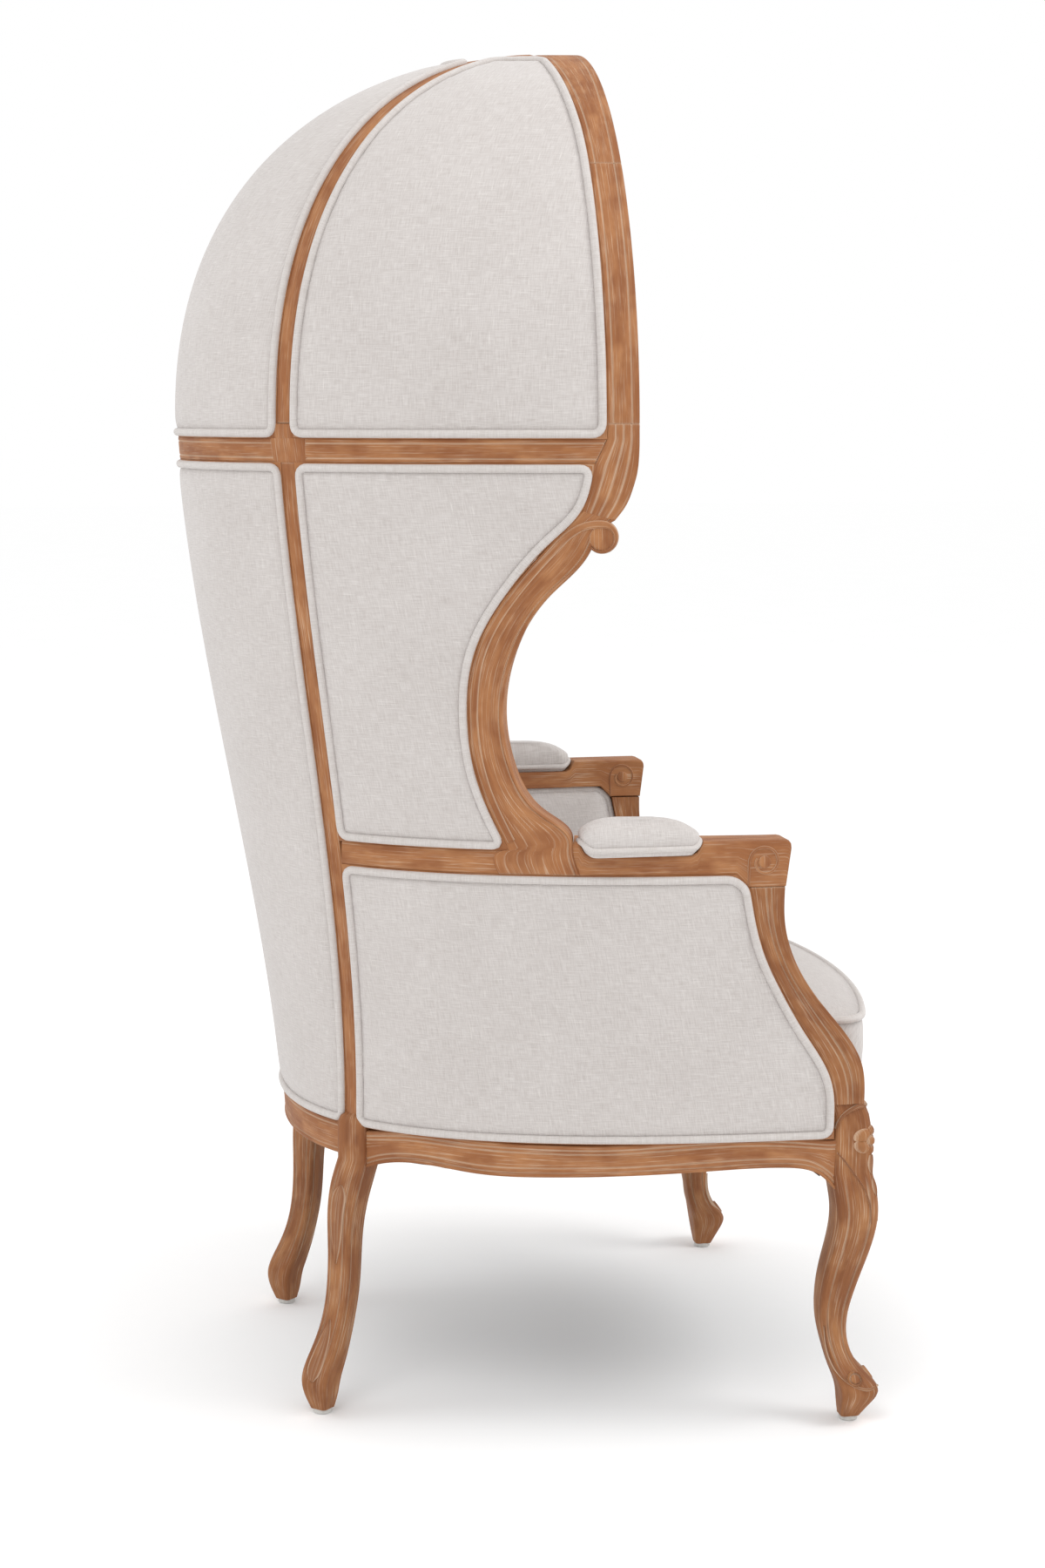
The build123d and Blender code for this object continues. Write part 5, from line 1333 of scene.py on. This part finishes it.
# The dust cover is tacked under the rails, and its front edge follows the bow of the front rail
t = np.linspace(-0.14, 1, 160)
under_wall = wall(t, angle(RAIL_LOW))
dust_outline = np.column_stack([np.minimum(under_wall[:, 0] + 18, 0), under_wall[:, 1] - 18 * (t > .5)])
x, y, half = cloth_grid(dust_outline[dust_outline[:, 1] > LEG_Y + 26], 101)
under_y, under_z = zip(*RAIL_UNDER[:2:-1], (150, RAIL_LOW))
on_rail = 1 - ease((half - np.abs(x) - 24) / 60)
z = RAIL_LOW + (np.interp(y, under_y, under_z) - RAIL_LOW) * on_rail
near_front = np.clip(1 - (y - y.min()) / 90, 0, 1) * np.clip((rail_end - 2 - np.abs(x)) / 7, 0, 1)
bow_line = rail_centre - np.sqrt((rail_radius - 12) ** 2 - np.minimum(np.abs(x), rail_end) ** 2)
y = y - (y.min() - bow_line) * near_front
z = z + (RAIL_LOW + rail_lift(x) - z) * ease(1.6 * near_front)
cloth(x, y, z - 1.6, 1.3, "sheet_dust_cover", DUST_CLOTH, "dust_cloth", "dust_cover",
      ["seat_rail_rear", "seat_rail_front"])
x, y, _ = cloth_grid(seat_plan(387.4, 6.5), 41)
cloth(x, y, 387.3, 1.5, "sheet_hessian", HESSIAN, "hessian", "seat_hessian", ["seat_springs"])
WEBS, WEB_HALF = 6, 25
webs, pitch = Build(), (HOOD_RAIL_LOW - DECK) / WEBS
for i in range(WEBS):
    middle = DECK + (i + 0.5) * pitch
    tf = np.array([round_back(place(stile_at(z) + STILE + 1, z)[0], angle(z), 70)
                   for z in np.linspace(middle - WEB_HALF, middle + WEB_HALF, 5)])
    webs.shell(surf(tf, 2.4 - WOOD), surf(tf, 0.2 - WOOD), cloth_uv(tf))
webs.make("webbing_back", JUTE, "webbing", ("back_webbing",))

# Finishes of the CAD solids that stay
for material, nodes in ((GLIDE, ("glides",)), (BARE_WOOD, ("corner_blocks", "rail_dowels")),
                        (ZINC, ("corner_screws", "seat_springs", "spring_clips"))):
    for node in nodes:
        materials = bpy.data.objects[node].data.materials
        materials.clear()
        materials.append(material)

# Studio
scene, REACH = bpy.context.scene, 30
floor_mesh = bpy.data.meshes.new("floor")
floor_mesh.from_pydata([(x, y, 0) for x, y in ((-REACH, -REACH), (REACH, -REACH), (REACH, REACH), (-REACH, REACH))],
                       [], [(0, 1, 2, 3)])
floor_mesh.materials.append(FLOOR)
floor = bpy.data.objects.new("floor", floor_mesh)
scene.collection.objects.link(floor)
world = bpy.data.worlds.new("studio")
world.use_nodes = True
world.node_tree.nodes["Background"].inputs["Color"].default_value = (1, 1, 1, 1)
world.node_tree.nodes["Background"].inputs["Strength"].default_value = 1.0
scene.world = world
scene.view_settings.view_transform = "Standard"


def softbox(name, where, aim, size, power):
    light = bpy.data.lights.new(name, "AREA")
    light.shape, light.size, light.energy = "DISK", size, power
    lamp = bpy.data.objects.new(name, light)
    lamp.location = where
    lamp.rotation_euler = (Vector(aim) - Vector(where)).to_track_quat("-Z", "Y").to_euler()
    scene.collection.objects.link(lamp)


softbox("key", (-2.2, 1.2, 3.6), (0, 0, 0.8), 1.8, 22)
softbox("fill", (0.4, 3.4, 2.4), (0, 0, 0.9), 2.0, 10)
softbox("front", (-0.9, -2.4, 3.2), (0, -0.2, 0.45), 1.6, 36)

# Camera at the photograph's angle: its turn and tilt in radians, and its place in metres
YAW, TILT, PLACE = 0.1884, 0.1361, (-3.2839, 0.6145, 1.1661)
FOCAL, PHOTO_HIGH, SENSOR = 3152.3, 1800, 36
camera = bpy.data.objects.new("camera", bpy.data.cameras.new("camera"))
forward = Vector((cos(YAW) * cos(TILT), -sin(YAW) * cos(TILT), -sin(TILT)))
right = Vector((-sin(YAW), -cos(YAW), 0))
axes = (*zip(right, right.cross(forward), -forward, PLACE), (0, 0, 0, 1))
camera.matrix_world = Matrix(axes)
camera.data.sensor_width = SENSOR
camera.data.lens = SENSOR * FOCAL / PHOTO_HIGH
scene.collection.objects.link(camera)
scene.camera = camera
